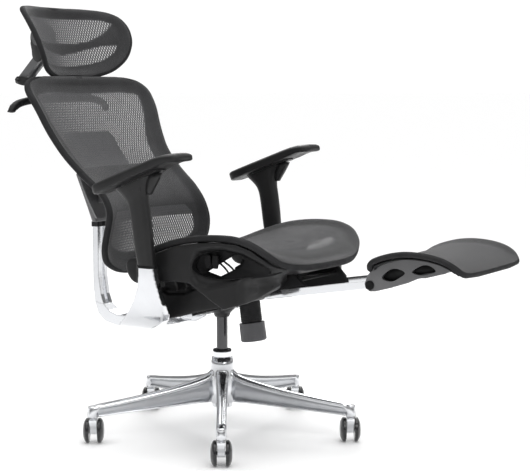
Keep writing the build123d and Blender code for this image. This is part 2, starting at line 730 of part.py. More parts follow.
# plan band that the side frames follow: outer, inner
PLAN_OUT = [(236, 90), (255, 42), (258, -40), (256, -100), (252, -155),
            (245, -205), (234, -240), (214, -266), (190, -281), (168, -290)]
PLAN_IN = [(213, 74), (229, 36), (234, -40), (232, -100), (228, -155),
           (222, -196), (214, -226), (198, -248), (178, -262), (160, -271)]
SIDE_TOP = [(88, 452), (60, 462), (38, 470), (0, 484), (-40, 498), (-100, 508),
            (-155, 511), (-198, 509), (-232, 497), (-258, 476), (-275, 458),
            (-290, 449)]
SIDE_BOTTOM = [(-291, 441), (-283, 436), (-275, 410), (-262, 399), (-241, 384),
               (-215, 373), (-168, 359), (-146, 370), (-112, 392), (-76, 414),
               (-40, 415), (0, 412), (38, 405), (68, 398), (92, 402),
               (106, 418), (108, 438)]
EYE = [(-84, 452), (-96, 476), (-130, 488), (-174, 491), (-214, 483),
       (-246, 466), (-268, 446), (-250, 438), (-215, 434), (-165, 428),
       (-125, 430), (-96, 438)]
LOBE = [(-262, 400), (-241, 383), (-182, 367), (-70, 340), (-13, 323),
        (28, 315), (42, 320), (72, 338), (88, 392), (60, 408), (14, 411), (-50, 415),
        (-125, 421), (-215, 424), (-250, 416)]

for sgn, side_name in ((-1, "right"), (1, "left")):
    with BuildPart() as side_frame:
        with BuildSketch(Plane.XY.offset(340)):
            with BuildLine():
                Spline(*[(sgn * x, y) for x, y in PLAN_OUT])
                Line((sgn * PLAN_OUT[-1][0], PLAN_OUT[-1][1]),
                     (sgn * PLAN_IN[-1][0], PLAN_IN[-1][1]))
                Spline(*[(sgn * x, y) for x, y in PLAN_IN[::-1]])
                Line((sgn * PLAN_IN[0][0], PLAN_IN[0][1]),
                     (sgn * PLAN_OUT[0][0], PLAN_OUT[0][1]))
            make_face()
        extrude(amount=200)
        with BuildSketch(yz_plane(-300)):
            with BuildLine():
                Polyline(*(SIDE_TOP + SIDE_BOTTOM), close=True)
            make_face()
            with BuildLine():
                Spline(*EYE, periodic=True)
            make_face(mode=Mode.SUBTRACT)
        extrude(amount=600, mode=Mode.INTERSECT)
        with BuildSketch(yz_plane(sgn * 190)):
            with BuildLine():
                Polyline(*LOBE, close=True)
            make_face()
        extrude(amount=sgn * 16)
        # webs that tie the inner wall to the outer one
        for web in ([(-244, 398), (-212, 386), (-212, 416), (-244, 416)],
                    [(-168, 372), (-132, 386), (-132, 418), (-168, 418)],
                    [(-30, 390), (6, 390), (6, 413), (-30, 416)]):
            with BuildSketch(yz_plane(sgn * 200)):
                with BuildLine():
                    Polyline(*web, close=True)
                make_face()
            extrude(amount=sgn * 40)
        if sgn < 0:
            # boss inside the opening for the two paddles
            with BuildSketch(yz_plane(-226.0)):
                with BuildLine():
                    Polyline((-84, 458), (-84, 506), (-146, 508), (-146, 470),
                             (-110, 458), close=True)
                make_face()
            extrude(amount=5.0)
            with BuildSketch(yz_plane(-240.0)):
                with BuildLine():
                    Polyline((-84, 493), (-84, 504), (-146, 506), (-146, 497),
                             close=True)
                make_face()
            extrude(amount=19.0)
        add(seat_rim.part, mode=Mode.SUBTRACT)
    keep(side_frame, "side_frame_%s" % side_name)

with BuildPart() as front_apron:
    with BuildSketch(Plane.XY.offset(400)):
        with BuildLine():
            Spline((-165, -292), (-110, -309), (0, -323), (110, -309),
                   (165, -292))
            Line((165, -292), (157, -272))
            Spline((157, -272), (104, -288), (0, -300), (-104, -288),
                   (-157, -272))
            Line((-157, -272), (-165, -292))
        make_face()
    extrude(amount=120)
    with BuildSketch(xz_plane(-240)):
        with BuildLine():
            Polyline((-165, 453), (-110, 446), (110, 446), (165, 453),
                     (165, 438), (110, 431), (-110, 431), (-165, 438),
                     close=True)
        make_face()
    extrude(amount=120, mode=Mode.INTERSECT)
    add(seat_rim.part, mode=Mode.SUBTRACT)
keep(front_apron, "front_apron")

with BuildPart() as seat_carrier:
    # two cheeks beside the housing, with outriggers to the side frames
    for sgn in (-1, 1):
        with BuildSketch(yz_plane(sgn * 62.5)):
            with BuildLine():
                Polyline((-118, 350), (-92, 346), (-44, 326), (-36, 350),
                         (-60, 366), (-92, 373), (-118, 370), close=True)
            make_face()
            with Locations((SEAT_PIVOT_Y, SEAT_PIVOT_Z)):
                Circle(6.0 + RUN, mode=Mode.SUBTRACT)
        extrude(amount=sgn * 9)
        with BuildSketch(yz_plane(sgn * 70.0)):
            with BuildLine():
                Polyline((-56, 331), (-41, 325), (-38, 343), (-54, 348),
                         close=True)
            make_face()
        extrude(amount=sgn * 120.0)
keep(seat_carrier, "seat_carrier")

SLOPE = math.radians(RAIL_SLOPE)
RAIL_DIR = Vector(0, -math.cos(SLOPE), math.sin(SLOPE))
RAIL_UP = Vector(0, math.sin(SLOPE), math.cos(SLOPE))
RAIL_EYE = Vector(0, RAIL_FRONT[0], RAIL_FRONT[1])


def rail_point(s, up):
    """Point on the rail line: s back from the hinge eye, up across it."""
    p = RAIL_EYE - RAIL_DIR * s + RAIL_UP * up
    return (p.Y, p.Z)


with BuildPart() as rail_guides:
    # channels under the seat's nose, open to the outside, that the rails run in
    for sgn in (-1, 1):
        with BuildSketch(yz_plane(sgn * (RAIL_X - 11.0))):
            with BuildLine():
                Polyline(rail_point(172, 9), rail_point(172, -10.5),
                         rail_point(300, -10.5), rail_point(318, 12),
                         rail_point(285, 34), (-258, 434), (-302, 438),
                         close=True)
            make_face()
        extrude(amount=sgn * 14.0)
        with BuildSketch(yz_plane(sgn * (RAIL_X - 3.3))):
            with BuildLine():
                Polyline(rail_point(160, -14), rail_point(330, -14),
                         rail_point(330, 9.4), rail_point(160, 9.4),
                         close=True)
            make_face()
        extrude(amount=sgn * 6.6, mode=Mode.SUBTRACT)
    # tie plate between the channels, ties out to the side frames
    with BuildSketch(yz_plane(-93.0)):
        with BuildLine():
            Polyline(rail_point(196, 20), rail_point(196, 26),
                     rail_point(285, 26), rail_point(285, 20), close=True)
        make_face()
    extrude(amount=186.0)
    for sgn in (-1, 1):
        with BuildSketch(yz_plane(sgn * 113.0)):
            with BuildLine():
                Polyline((-236, 402), (-212, 398), (-212, 414), (-236, 417),
                         close=True)
            make_face()
        extrude(amount=sgn * 77.0)
    add(front_apron.part, mode=Mode.SUBTRACT)
keep(rail_guides, "rail_guides")

# ---------------------------------------------------------------------------
# Footrest: rails, frame, pad
# ---------------------------------------------------------------------------
with BuildPart() as footrest_rails:
    for sgn in (-1, 1):
        with BuildSketch(yz_plane(sgn * RAIL_X - 3.0)):
            with BuildLine():
                Polyline(rail_point(-9, 7), rail_point(-9, -7),
                         rail_point(0, -9), rail_point(300, -9),
                         rail_point(300, 9), rail_point(0, 9), close=True)
            make_face()
        extrude(amount=6.0)
    # cross tube at the hinge, turning axis of the pad
    with BuildSketch(yz_plane(-136.0)):
        with Locations((RAIL_FRONT[0], RAIL_FRONT[1])):
            Circle(6.0)
    extrude(amount=272.0)
keep(footrest_rails, "footrest_rails")

FOOT_HALF = [(0, -482, 458), (70, -482, 458), (136, -483, 459),
             (162, -497, 478), (166, -527, 491), (168, -566, 501),
             (170, -600, 504), (171, -637, 502), (171, -672, 495.5),
             (168, -700, 483), (154, -718, 464), (90, -722, 461),
             (0, -722, 461)]
footrest_rim = rim(FOOT_HALF, FOOT_RIM_R)
keep(footrest_rim, "footrest_rim")

foot_rows = [
    cross_row(126, -490, 464, -490, 464), cross_row(153, -500, 479, -499, 476),
    cross_row(157.5, -528, 490, -528, 486), cross_row(159.5, -566, 500, -566, 493),
    cross_row(161.5, -600, 503, -600, 495), cross_row(162.5, -637, 501, -637, 493),
    cross_row(162.5, -671, 494, -671, 488), cross_row(159, -697, 482, -698, 479),
    cross_row(144, -712, 468, -713.5, 466.5),
]
footrest_mesh = sheet(foot_rows, 2.4)
keep(footrest_mesh, "footrest_mesh")

with BuildPart() as footrest_frame:
    # two ribs that turn on the cross tube
    for sgn in (-1, 1):
        with BuildSketch(yz_plane(sgn * 126.0)):
            with BuildLine():
                Polyline((-471, 428), (-474, 417), (-484, 411), (-498, 412),
                         (-534, 422), (-576, 436), (-600, 447), (-664, 462),
                         (-690, 476), (-672, 488), (-640, 494), (-600, 496),
                         (-560, 492), (-522, 482), (-496, 468), (-478, 447),
                         close=True)
            make_face()
            with Locations((RAIL_FRONT[0], RAIL_FRONT[1])):
                Circle(6.0 + RUN, mode=Mode.SUBTRACT)
            with BuildLine():
                Spline((-514, 446), (-528, 460), (-552, 466), (-570, 458),
                       (-556, 446), (-532, 437), periodic=True)
            make_face(mode=Mode.SUBTRACT)
            with BuildLine():
                Spline((-588, 463), (-606, 475), (-634, 476), (-644, 467),
                       (-628, 460), (-604, 456), periodic=True)
            make_face(mode=Mode.SUBTRACT)
        extrude(amount=sgn * 9.0)
    # floor between the ribs, open where the rails fold in
    with BuildSketch(yz_plane(-127.0)):
        with BuildLine():
            Polyline((-584, 452), (-604, 452), (-664, 466), (-676, 474),
                     (-676, 478), (-664, 470), (-604, 456.5), (-584, 456.5),
                     close=True)
        make_face()
    extrude(amount=254.0)
    with BuildSketch(yz_plane(-94.0)):
        with BuildLine():
            Polyline((-500, 432), (-534, 441), (-590, 452), (-590, 456),
                     (-534, 445), (-500, 436), close=True)
        make_face()
    extrude(amount=188.0)
    add(footrest_rim.part, mode=Mode.SUBTRACT)
keep(footrest_frame, "footrest_frame")

# ---------------------------------------------------------------------------
# Controls: two paddles in the right side frame, cables to the mechanism
# ---------------------------------------------------------------------------
for name, y0 in (("height_lever", -138.0), ("recline_lever", -118.0)):
    with BuildPart() as lever:
        with BuildSketch(yz_plane(-226.5)):
            with Locations((y0, 473.0)):
                Circle(5.0)
        extrude(amount=-6.5)
        with BuildSketch(yz_plane(-233.0)):
            with BuildLine():
                Polyline((y0 - 7, 480), (y0 + 7, 480), (y0 + 8, 462),
                         (y0 + 4, 450), (y0 - 5, 450), (y0 - 8, 462),
                         close=True)
            make_face()
        extrude(amount=-5.0)
    keep(lever, name)

# two sheathed cables from the paddle boss to the carrier's cheek
with BuildPart() as control_cables:
    for route in ([(-218.8, -139, 470), (-208, -140, 466), (-170, -140, 446),
                   (-120, -126, 415), (-92, -104, 388), (-71.5, -92, 362)],
                  [(-218.8, -123, 470), (-206, -124, 464), (-168, -124, 440),
                   (-118, -108, 407), (-92, -86, 382), (-71.5, -76, 357)]):
        with BuildLine() as run_line:
            FilletPolyline(*route, radius=corner_radii(route))
        with BuildSketch(Plane(origin=run_line.line @ 0, z_dir=run_line.line % 0)):
            Circle(2.3)
        sweep(path=run_line.line)
    add(seat_carrier.part, mode=Mode.SUBTRACT)
keep(control_cables, "control_cables")

print(len(parts), "nodes")
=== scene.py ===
import bpy, bmesh, json, math
import numpy as np
from mathutils import Vector, Matrix

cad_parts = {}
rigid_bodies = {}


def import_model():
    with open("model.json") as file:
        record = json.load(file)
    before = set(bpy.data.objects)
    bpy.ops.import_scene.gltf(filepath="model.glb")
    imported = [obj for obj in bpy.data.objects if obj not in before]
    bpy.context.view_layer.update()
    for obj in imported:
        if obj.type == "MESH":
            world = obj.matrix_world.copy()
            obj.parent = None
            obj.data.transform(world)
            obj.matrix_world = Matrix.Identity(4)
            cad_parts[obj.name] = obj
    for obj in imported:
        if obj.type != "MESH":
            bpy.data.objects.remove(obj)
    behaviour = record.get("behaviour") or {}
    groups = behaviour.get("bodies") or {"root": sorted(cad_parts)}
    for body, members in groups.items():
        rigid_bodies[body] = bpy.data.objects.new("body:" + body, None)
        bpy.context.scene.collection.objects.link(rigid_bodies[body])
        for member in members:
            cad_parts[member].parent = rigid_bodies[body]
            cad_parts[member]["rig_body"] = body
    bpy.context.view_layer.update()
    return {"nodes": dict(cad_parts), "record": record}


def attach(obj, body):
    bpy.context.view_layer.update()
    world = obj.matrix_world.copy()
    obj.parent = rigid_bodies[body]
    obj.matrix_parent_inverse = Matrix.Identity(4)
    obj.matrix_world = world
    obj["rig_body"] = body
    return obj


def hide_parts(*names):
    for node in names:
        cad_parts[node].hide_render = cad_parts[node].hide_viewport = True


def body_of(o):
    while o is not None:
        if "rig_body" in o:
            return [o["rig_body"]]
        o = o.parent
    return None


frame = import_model()
NODES = frame["nodes"]
scene = bpy.context.scene

# --------------------------------------------------------------------------
# camera, at the photograph's angle
# --------------------------------------------------------------------------
cam = bpy.data.cameras.new("view_camera")
cam.sensor_fit = "HORIZONTAL"
cam.sensor_width = 36.0
cam.lens = 1435.2 / 530.0 * 36.0
cam.clip_start, cam.clip_end = 0.05, 600.0
camera = bpy.data.objects.new("view_camera", cam)
scene.collection.objects.link(camera)
camera.location = (-2.955, -1.9525, 0.8637)
camera.rotation_mode = "QUATERNION"
camera.rotation_quaternion = Vector((0.84611, 0.52303, -0.10263)).to_track_quat("-Z", "Y")
scene.camera = camera


# --------------------------------------------------------------------------
# node helpers
# --------------------------------------------------------------------------
def node(nt, kind, props=None, **ins):
    n = nt.nodes.new(kind)
    for k, v in (props or {}).items():
        setattr(n, k, v)
    for k, v in ins.items():
        s = n.inputs[int(k[1:])] if k[0] == "i" and k[1:].isdigit() else n.inputs[k.replace("_", " ")]
        if isinstance(v, bpy.types.NodeSocket):
            nt.links.new(v, s)
        else:
            s.default_value = v
    return n


def math_node(nt, op, a, b=0.0, c=None, clamp=False):
    ins = {"i0": a, "i1": b}
    if c is not None:
        ins["i2"] = c
    return node(nt, "ShaderNodeMath", {"operation": op, "use_clamp": clamp}, **ins).outputs[0]


def ramp(nt, value, lo, hi, a=0.0, b=1.0):
    return node(nt, "ShaderNodeMapRange", {"clamp": True}, Value=value, From_Min=lo, From_Max=hi,
                To_Min=a, To_Max=b).outputs[0]


def tint(nt, fac, dark, light):
    n = node(nt, "ShaderNodeMix", {"data_type": "RGBA"}, i0=fac)
    n.inputs[6].default_value = (*dark, 1)
    n.inputs[7].default_value = (*light, 1)
    return n.outputs[2]


def noise(nt, vec, scale, detail=2.0, rough=0.5):
    return node(nt, "ShaderNodeTexNoise", None, Vector=vec, Scale=scale, Detail=detail, Roughness=rough).outputs[0]


def new_mat(name):
    m = bpy.data.materials.new(name)
    m.use_nodes = True
    nt = m.node_tree
    nt.nodes.clear()
    out = nt.nodes.new("ShaderNodeOutputMaterial")
    b = nt.nodes.new("ShaderNodeBsdfPrincipled")
    nt.links.new(b.outputs[0], out.inputs[0])
    return m, nt, b


def moulded(name, col, rough=0.45, mottle=0.12, grain=900.0, depth=0.00005, edge=0.0009,
            coat=0.0, metal=0.0, spec=0.5, streak=None, wear=0.0):
    """Moulded, cast or plated finish: soft colour and gloss variation, fine
    surface grain, rounded edges, and streaks along an axis where it is drawn."""
    m, nt, b = new_mat(name)
    vec = node(nt, "ShaderNodeTexCoord").outputs["Object"]
    big = noise(nt, vec, 18.0, 3.0)
    fine = noise(nt, vec, grain, 2.0)
    c0 = [max(0.0, x * (1 - mottle)) for x in col]
    c1 = [min(1.0, x * (1 + mottle)) for x in col]
    colour = tint(nt, ramp(nt, big, 0.3, 0.7), c0, c1)
    if wear:
        # edges a touch paler where hands and shoes rub them
        pt = node(nt, "ShaderNodeNewGeometry").outputs["Pointiness"]
        k = math_node(nt, "MULTIPLY", ramp(nt, pt, 0.51, 0.56), wear)
        n = node(nt, "ShaderNodeMix", {"data_type": "RGBA"}, i0=k)
        nt.links.new(colour, n.inputs[6])
        n.inputs[7].default_value = (*[min(1.0, x * 2.2 + 0.03) for x in col], 1)
        colour = n.outputs[2]
    nt.links.new(colour, b.inputs["Base Color"])
    r = ramp(nt, noise(nt, vec, 55.0, 2.0), 0.3, 0.7, rough * 0.86, min(1.0, rough * 1.14))
    nt.links.new(r, b.inputs["Roughness"])
    b.inputs["Metallic"].default_value = metal
    b.inputs["Specular IOR Level"].default_value = spec
    b.inputs["Coat Weight"].default_value = coat
    b.inputs["Coat Roughness"].default_value = 0.12
    height = fine
    if streak:
        sc = node(nt, "ShaderNodeMapping", None, Vector=vec, Scale=streak).outputs[0]
        height = math_node(nt, "ADD", fine, noise(nt, sc, 60.0, 2.0))
    nrm = node(nt, "ShaderNodeBevel", {"samples": 4}, Radius=edge).outputs[0]
    bump = node(nt, "ShaderNodeBump", None, Strength=1.0, Distance=depth, Height=height, Normal=nrm)
    nt.links.new(bump.outputs[0], b.inputs["Normal"])
    return m


def woven(name, dark, light, hole=0.30, pitch=(0.0048, 0.0060), rough=0.75, sheen=0.25):
    """Knitted see-through mesh: staggered oval holes, closed where the piece's
    "open" attribute is 0, raised yarns between them."""
    m, nt, b = new_mat(name)
    uv = node(nt, "ShaderNodeUVMap", {"uv_map": "cloth"}).outputs[0]
    sep = node(nt, "ShaderNodeSeparateXYZ", None, Vector=uv)
    u = math_node(nt, "DIVIDE", sep.outputs[0], pitch[0])
    v = math_node(nt, "DIVIDE", sep.outputs[1], pitch[1])
    both = []
    for shift in (0.0, 0.5):
        # one of two lattices of long holes that sit between each other
        fu = math_node(nt, "SUBTRACT", math_node(nt, "FRACT", math_node(nt, "ADD", u, shift + 40.0)), 0.5)
        fv = math_node(nt, "SUBTRACT", math_node(nt, "FRACT", math_node(nt, "ADD", v, shift + 40.0)), 0.5)
        du = math_node(nt, "DIVIDE", fu, 0.18)
        dv = math_node(nt, "DIVIDE", fv, 0.38)
        both.append(math_node(nt, "SQRT", math_node(nt, "ADD", math_node(nt, "MULTIPLY", du, du),
                                                    math_node(nt, "MULTIPLY", dv, dv))))
    d = math_node(nt, "MINIMUM", both[0], both[1])
    openness = node(nt, "ShaderNodeAttribute", {"attribute_name": "open"}).outputs["Fac"]
    size = math_node(nt, "MULTIPLY", openness, 1.0 + hole)
    edge = math_node(nt, "SUBTRACT", d, size)
    solid = ramp(nt, edge, -0.10, 0.14)
    nt.links.new(solid, b.inputs["Alpha"])
    # yarns: two crossing sets of fine ribs
    yu = math_node(nt, "SINE", math_node(nt, "MULTIPLY", sep.outputs[0], 2 * math.pi / (pitch[0] / 3)))
    yv = math_node(nt, "SINE", math_node(nt, "MULTIPLY", sep.outputs[1], 2 * math.pi / (pitch[1] / 4)))
    knit = math_node(nt, "MULTIPLY", yu, yv)
    vec = node(nt, "ShaderNodeTexCoord").outputs["Object"]
    blot = noise(nt, vec, 22.0, 3.0)
    # yarn tone: lighter where the knit is open, painted light standing for the brightness seen through the holes; the
    # knit's ribs and random blotches on top
    mix = math_node(nt, "ADD", math_node(nt, "MULTIPLY", openness, 0.55),
                    math_node(nt, "ADD", math_node(nt, "MULTIPLY", knit, 0.14),
                              math_node(nt, "MULTIPLY", blot, 0.24)), clamp=True)
    nt.links.new(tint(nt, mix, dark, light), b.inputs["Base Color"])
    b.inputs["Roughness"].default_value = rough
    b.inputs["Sheen Weight"].default_value = sheen * 0.5
    b.inputs["Sheen Roughness"].default_value = 0.45
    b.inputs["Specular IOR Level"].default_value = 0.35
    h = math_node(nt, "ADD", knit, math_node(nt, "MULTIPLY", ramp(nt, edge, 0.0, 0.6), 2.0))
    bump = node(nt, "ShaderNodeBump", None, Strength=0.7, Distance=0.0004, Height=h)
    nt.links.new(bump.outputs[0], b.inputs["Normal"])
    return m


M = {
    "alloy": moulded("polished_alloy", (0.69, 0.70, 0.72), 0.14, 0.03, 300.0, 0.00001, 0.0045, metal=1.0),
    "chrome": moulded("chrome_plate", (0.72, 0.73, 0.75), 0.08, 0.02, 300.0, 0.000004, 0.0028, metal=1.0),
    "steel": moulded("ground_steel", (0.42, 0.42, 0.43), 0.28, 0.08, 700.0, 0.00001, 0.0005, metal=1.0, streak=(1, 1, 14)),
    "cylinder": moulded("cylinder_lacquer", (0.055, 0.055, 0.058), 0.20, 0.08, 500.0, 0.00001, 0.0005, metal=0.6, coat=0.4),
    "powder": moulded("powder_coat", (0.011, 0.011, 0.012), 0.42, 0.2, 1500.0, 0.00008, 0.0012),
    "rubber": moulded("soft_rubber", (0.010, 0.010, 0.011), 0.62, 0.15, 900.0, 0.00004, 0.0008, spec=0.35),
    "knob": moulded("knob_plastic", (0.075, 0.075, 0.08), 0.42, 0.12, 800.0, 0.00004, 0.001),
    "wheel": moulded("wheel_nylon", (0.009, 0.009, 0.010), 0.24, 0.15, 500.0, 0.00002, 0.0012, coat=0.2),
    "black": moulded("black_moulding", (0.0075, 0.0075, 0.008), 0.38, 0.2, 1100.0, 0.00006, 0.0014, spec=0.34, wear=0.2),
    "frame": moulded("frame_moulding", (0.0075, 0.0075, 0.008), 0.46, 0.18, 1100.0, 0.00006, 0.0012, spec=0.26, wear=0.15),
    "arm": moulded("arm_moulding", (0.009, 0.009, 0.0095), 0.42, 0.16, 1100.0, 0.00005, 0.0015, spec=0.34, wear=0.15),
    "pad": moulded("pad_skin", (0.008, 0.008, 0.0085), 0.50, 0.16, 750.0, 0.00010, 0.0015, spec=0.28, wear=0.15),
    "shell": moulded("shell_moulding", (0.085, 0.085, 0.088), 0.40, 0.12, 1000.0, 0.00006, 0.0014, wear=0.2),
    # a darker, duller copy of the black moulding: painted shade for parts under the seat, inside the side openings and
    # behind the cloth
    "dark": moulded("shaded_black_moulding", (0.004, 0.004, 0.0045), 0.55, 0.2, 900.0, 0.00006, 0.0012, spec=0.18),
    "mesh": woven("back_cloth", (0.012, 0.012, 0.013), (0.12, 0.12, 0.125), hole=-0.21, pitch=(0.0078, 0.0136)),
    "head_mesh": woven("head_cloth", (0.011, 0.011, 0.012), (0.115, 0.115, 0.12), hole=-0.31, pitch=(0.0074, 0.0128)),
    "seat_mesh": woven("seat_cloth", (0.018, 0.018, 0.019), (0.075, 0.075, 0.08), hole=0.0, pitch=(0.0052, 0.0080), sheen=0.4),
}

SLOT_MAT = {"base_alloy": "alloy", "tube_chrome": "chrome", "bushing": "rubber", "bearing_steel": "steel",
            "cylinder_black": "cylinder", "housing_black": "powder", "boot_rubber": "rubber", "knob_grey": "knob",
            "caster_metal": "chrome", "caster_black": "wheel", "yoke_alloy": "alloy", "stem_steel": "steel",
            "arm_plastic": "arm", "arm_pad": "pad", "frame_plastic": "frame", "shell_grey": "shell",
            "mesh_fabric": "mesh", "rail_chrome": "chrome", "cable_sheath": "rubber"}
M["wrap"] = moulded("rim_cloth", (0.017, 0.017, 0.018), 0.75, 0.2, 1300.0, 0.00012, 0.001, spec=0.2)
# webs: rougher satin metal, its colour darkened as painted shade in the recess between the rails
M["satin"] = moulded("shaded_satin_web", (0.50, 0.51, 0.53), 0.34, 0.05, 900.0, 0.00002, 0.0008, metal=1.0)
for row in frame["record"]["subparts"]:
    ob = NODES[row["node"]]
    mat = M["wrap" if row["node"].endswith("_rim") else SLOT_MAT[row["material_slot"]]]
    if not ob.data.materials:
        ob.data.materials.append(mat)
    # levers, seat carrier and rail guides take the darker copy as painted shade under the seat and in the side openings
    if row["node"] in ("height_lever", "recline_lever", "seat_carrier", "rail_guides"):
        mat = M["dark"]
    for k in range(len(ob.material_slots)):
        ob.material_slots[k].link = "OBJECT"
        ob.material_slots[k].material = mat


# --------------------------------------------------------------------------
# geometry helpers, in millimetres until the mesh is made
# --------------------------------------------------------------------------
def make(name, verts, faces, mat, body, nodes=(), smooth=True):
    me = bpy.data.meshes.new(name)
    me.from_pydata([tuple(0.001 * c for c in v) for v in verts], [], faces)
    me.validate()
    me.update()
    ob = bpy.data.objects.new(name, me)
    scene.collection.objects.link(ob)
    me.materials.append(mat)
    for p in me.polygons:
        p.use_smooth = smooth
    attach(ob, body)
    if nodes:
        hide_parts(*nodes)
    return ob


def fix_normals(ob):
    bm = bmesh.new()
    bm.from_mesh(ob.data)
    bmesh.ops.recalc_face_normals(bm, faces=bm.faces)
    bm.to_mesh(ob.data)
    bm.free()


def subdivide(ob, levels=2, sharp=None):
    md = ob.modifiers.new("soft", "SUBSURF")
    md.levels = md.render_levels = levels
    return ob


def loft(rings, cap=True, loop=False):
    """Vertices and quads of a skin over closed rings of equal length."""
    n = len(rings[0])
    verts = [p for r in rings for p in r]
    faces = []
    m = len(rings)
    for i in range(m if loop else m - 1):
        a, b = i * n, ((i + 1) % m) * n
        for j in range(n):
            k = (j + 1) % n
            faces.append((a + j, a + k, b + k, b + j))
    if cap and not loop:
        faces.append(tuple(range(n))[::-1])
        faces.append(tuple(range((m - 1) * n, m * n)))
    return verts, faces


def smooth_path(ctrl, n):
    """n points along the quadratic curve that touches the middle of each run."""
    p = [np.array(c, float) for c in ctrl]
    mids = [p[0]] + [(a + b) / 2 for a, b in zip(p[1:-1], p[2:])][:-1] + [p[-1]] if len(p) > 3 else None
    segs = []
    if len(p) == 2:
        return [p[0] + (p[1] - p[0]) * t for t in np.linspace(0, 1, n)]
    start = p[0]
    for i in range(1, len(p) - 1):
        end = (p[i] + p[i + 1]) / 2 if i < len(p) - 2 else p[-1]
        segs.append((start, p[i], end))
        start = end
    fine = []
    for a, b, c in segs:
        for t in np.linspace(0, 1, 24, endpoint=False):
            fine.append((1 - t) ** 2 * a + 2 * t * (1 - t) * b + t * t * c)
    fine.append(p[-1])
    fine = np.array(fine)
    s = np.r_[0, np.cumsum(np.linalg.norm(np.diff(fine, axis=0), axis=1))]
    u = np.linspace(0, s[-1], n)
    return [np.array([np.interp(x, s, fine[:, k]) for k in range(fine.shape[1])]) for x in u]


def along(xs, ys, x):
    """Smooth curve through the table, sorted by xs."""
    o = np.argsort(xs)
    xs, ys = np.array(xs, float)[o], np.array(ys, float)[o]
    m = np.zeros(len(xs))
    d = np.diff(ys) / np.diff(xs)
    m[0], m[-1] = d[0], d[-1]
    for i in range(1, len(xs) - 1):
        m[i] = 0 if d[i - 1] * d[i] <= 0 else 2 * d[i - 1] * d[i] / (d[i - 1] + d[i])
    x = min(max(x, xs[0]), xs[-1])
    i = min(int(np.searchsorted(xs, x, side="right")) - 1, len(xs) - 2)
    h = xs[i + 1] - xs[i]
    t = (x - xs[i]) / h
    return ((2 * t**3 - 3 * t**2 + 1) * ys[i] + (t**3 - 2 * t**2 + t) * h * m[i]
            + (-2 * t**3 + 3 * t**2) * ys[i + 1] + (t**3 - t**2) * h * m[i + 1])


def step(x, a, b):
    t = min(1.0, max(0.0, (x - a) / (b - a)))
    return t * t * (3 - 2 * t)


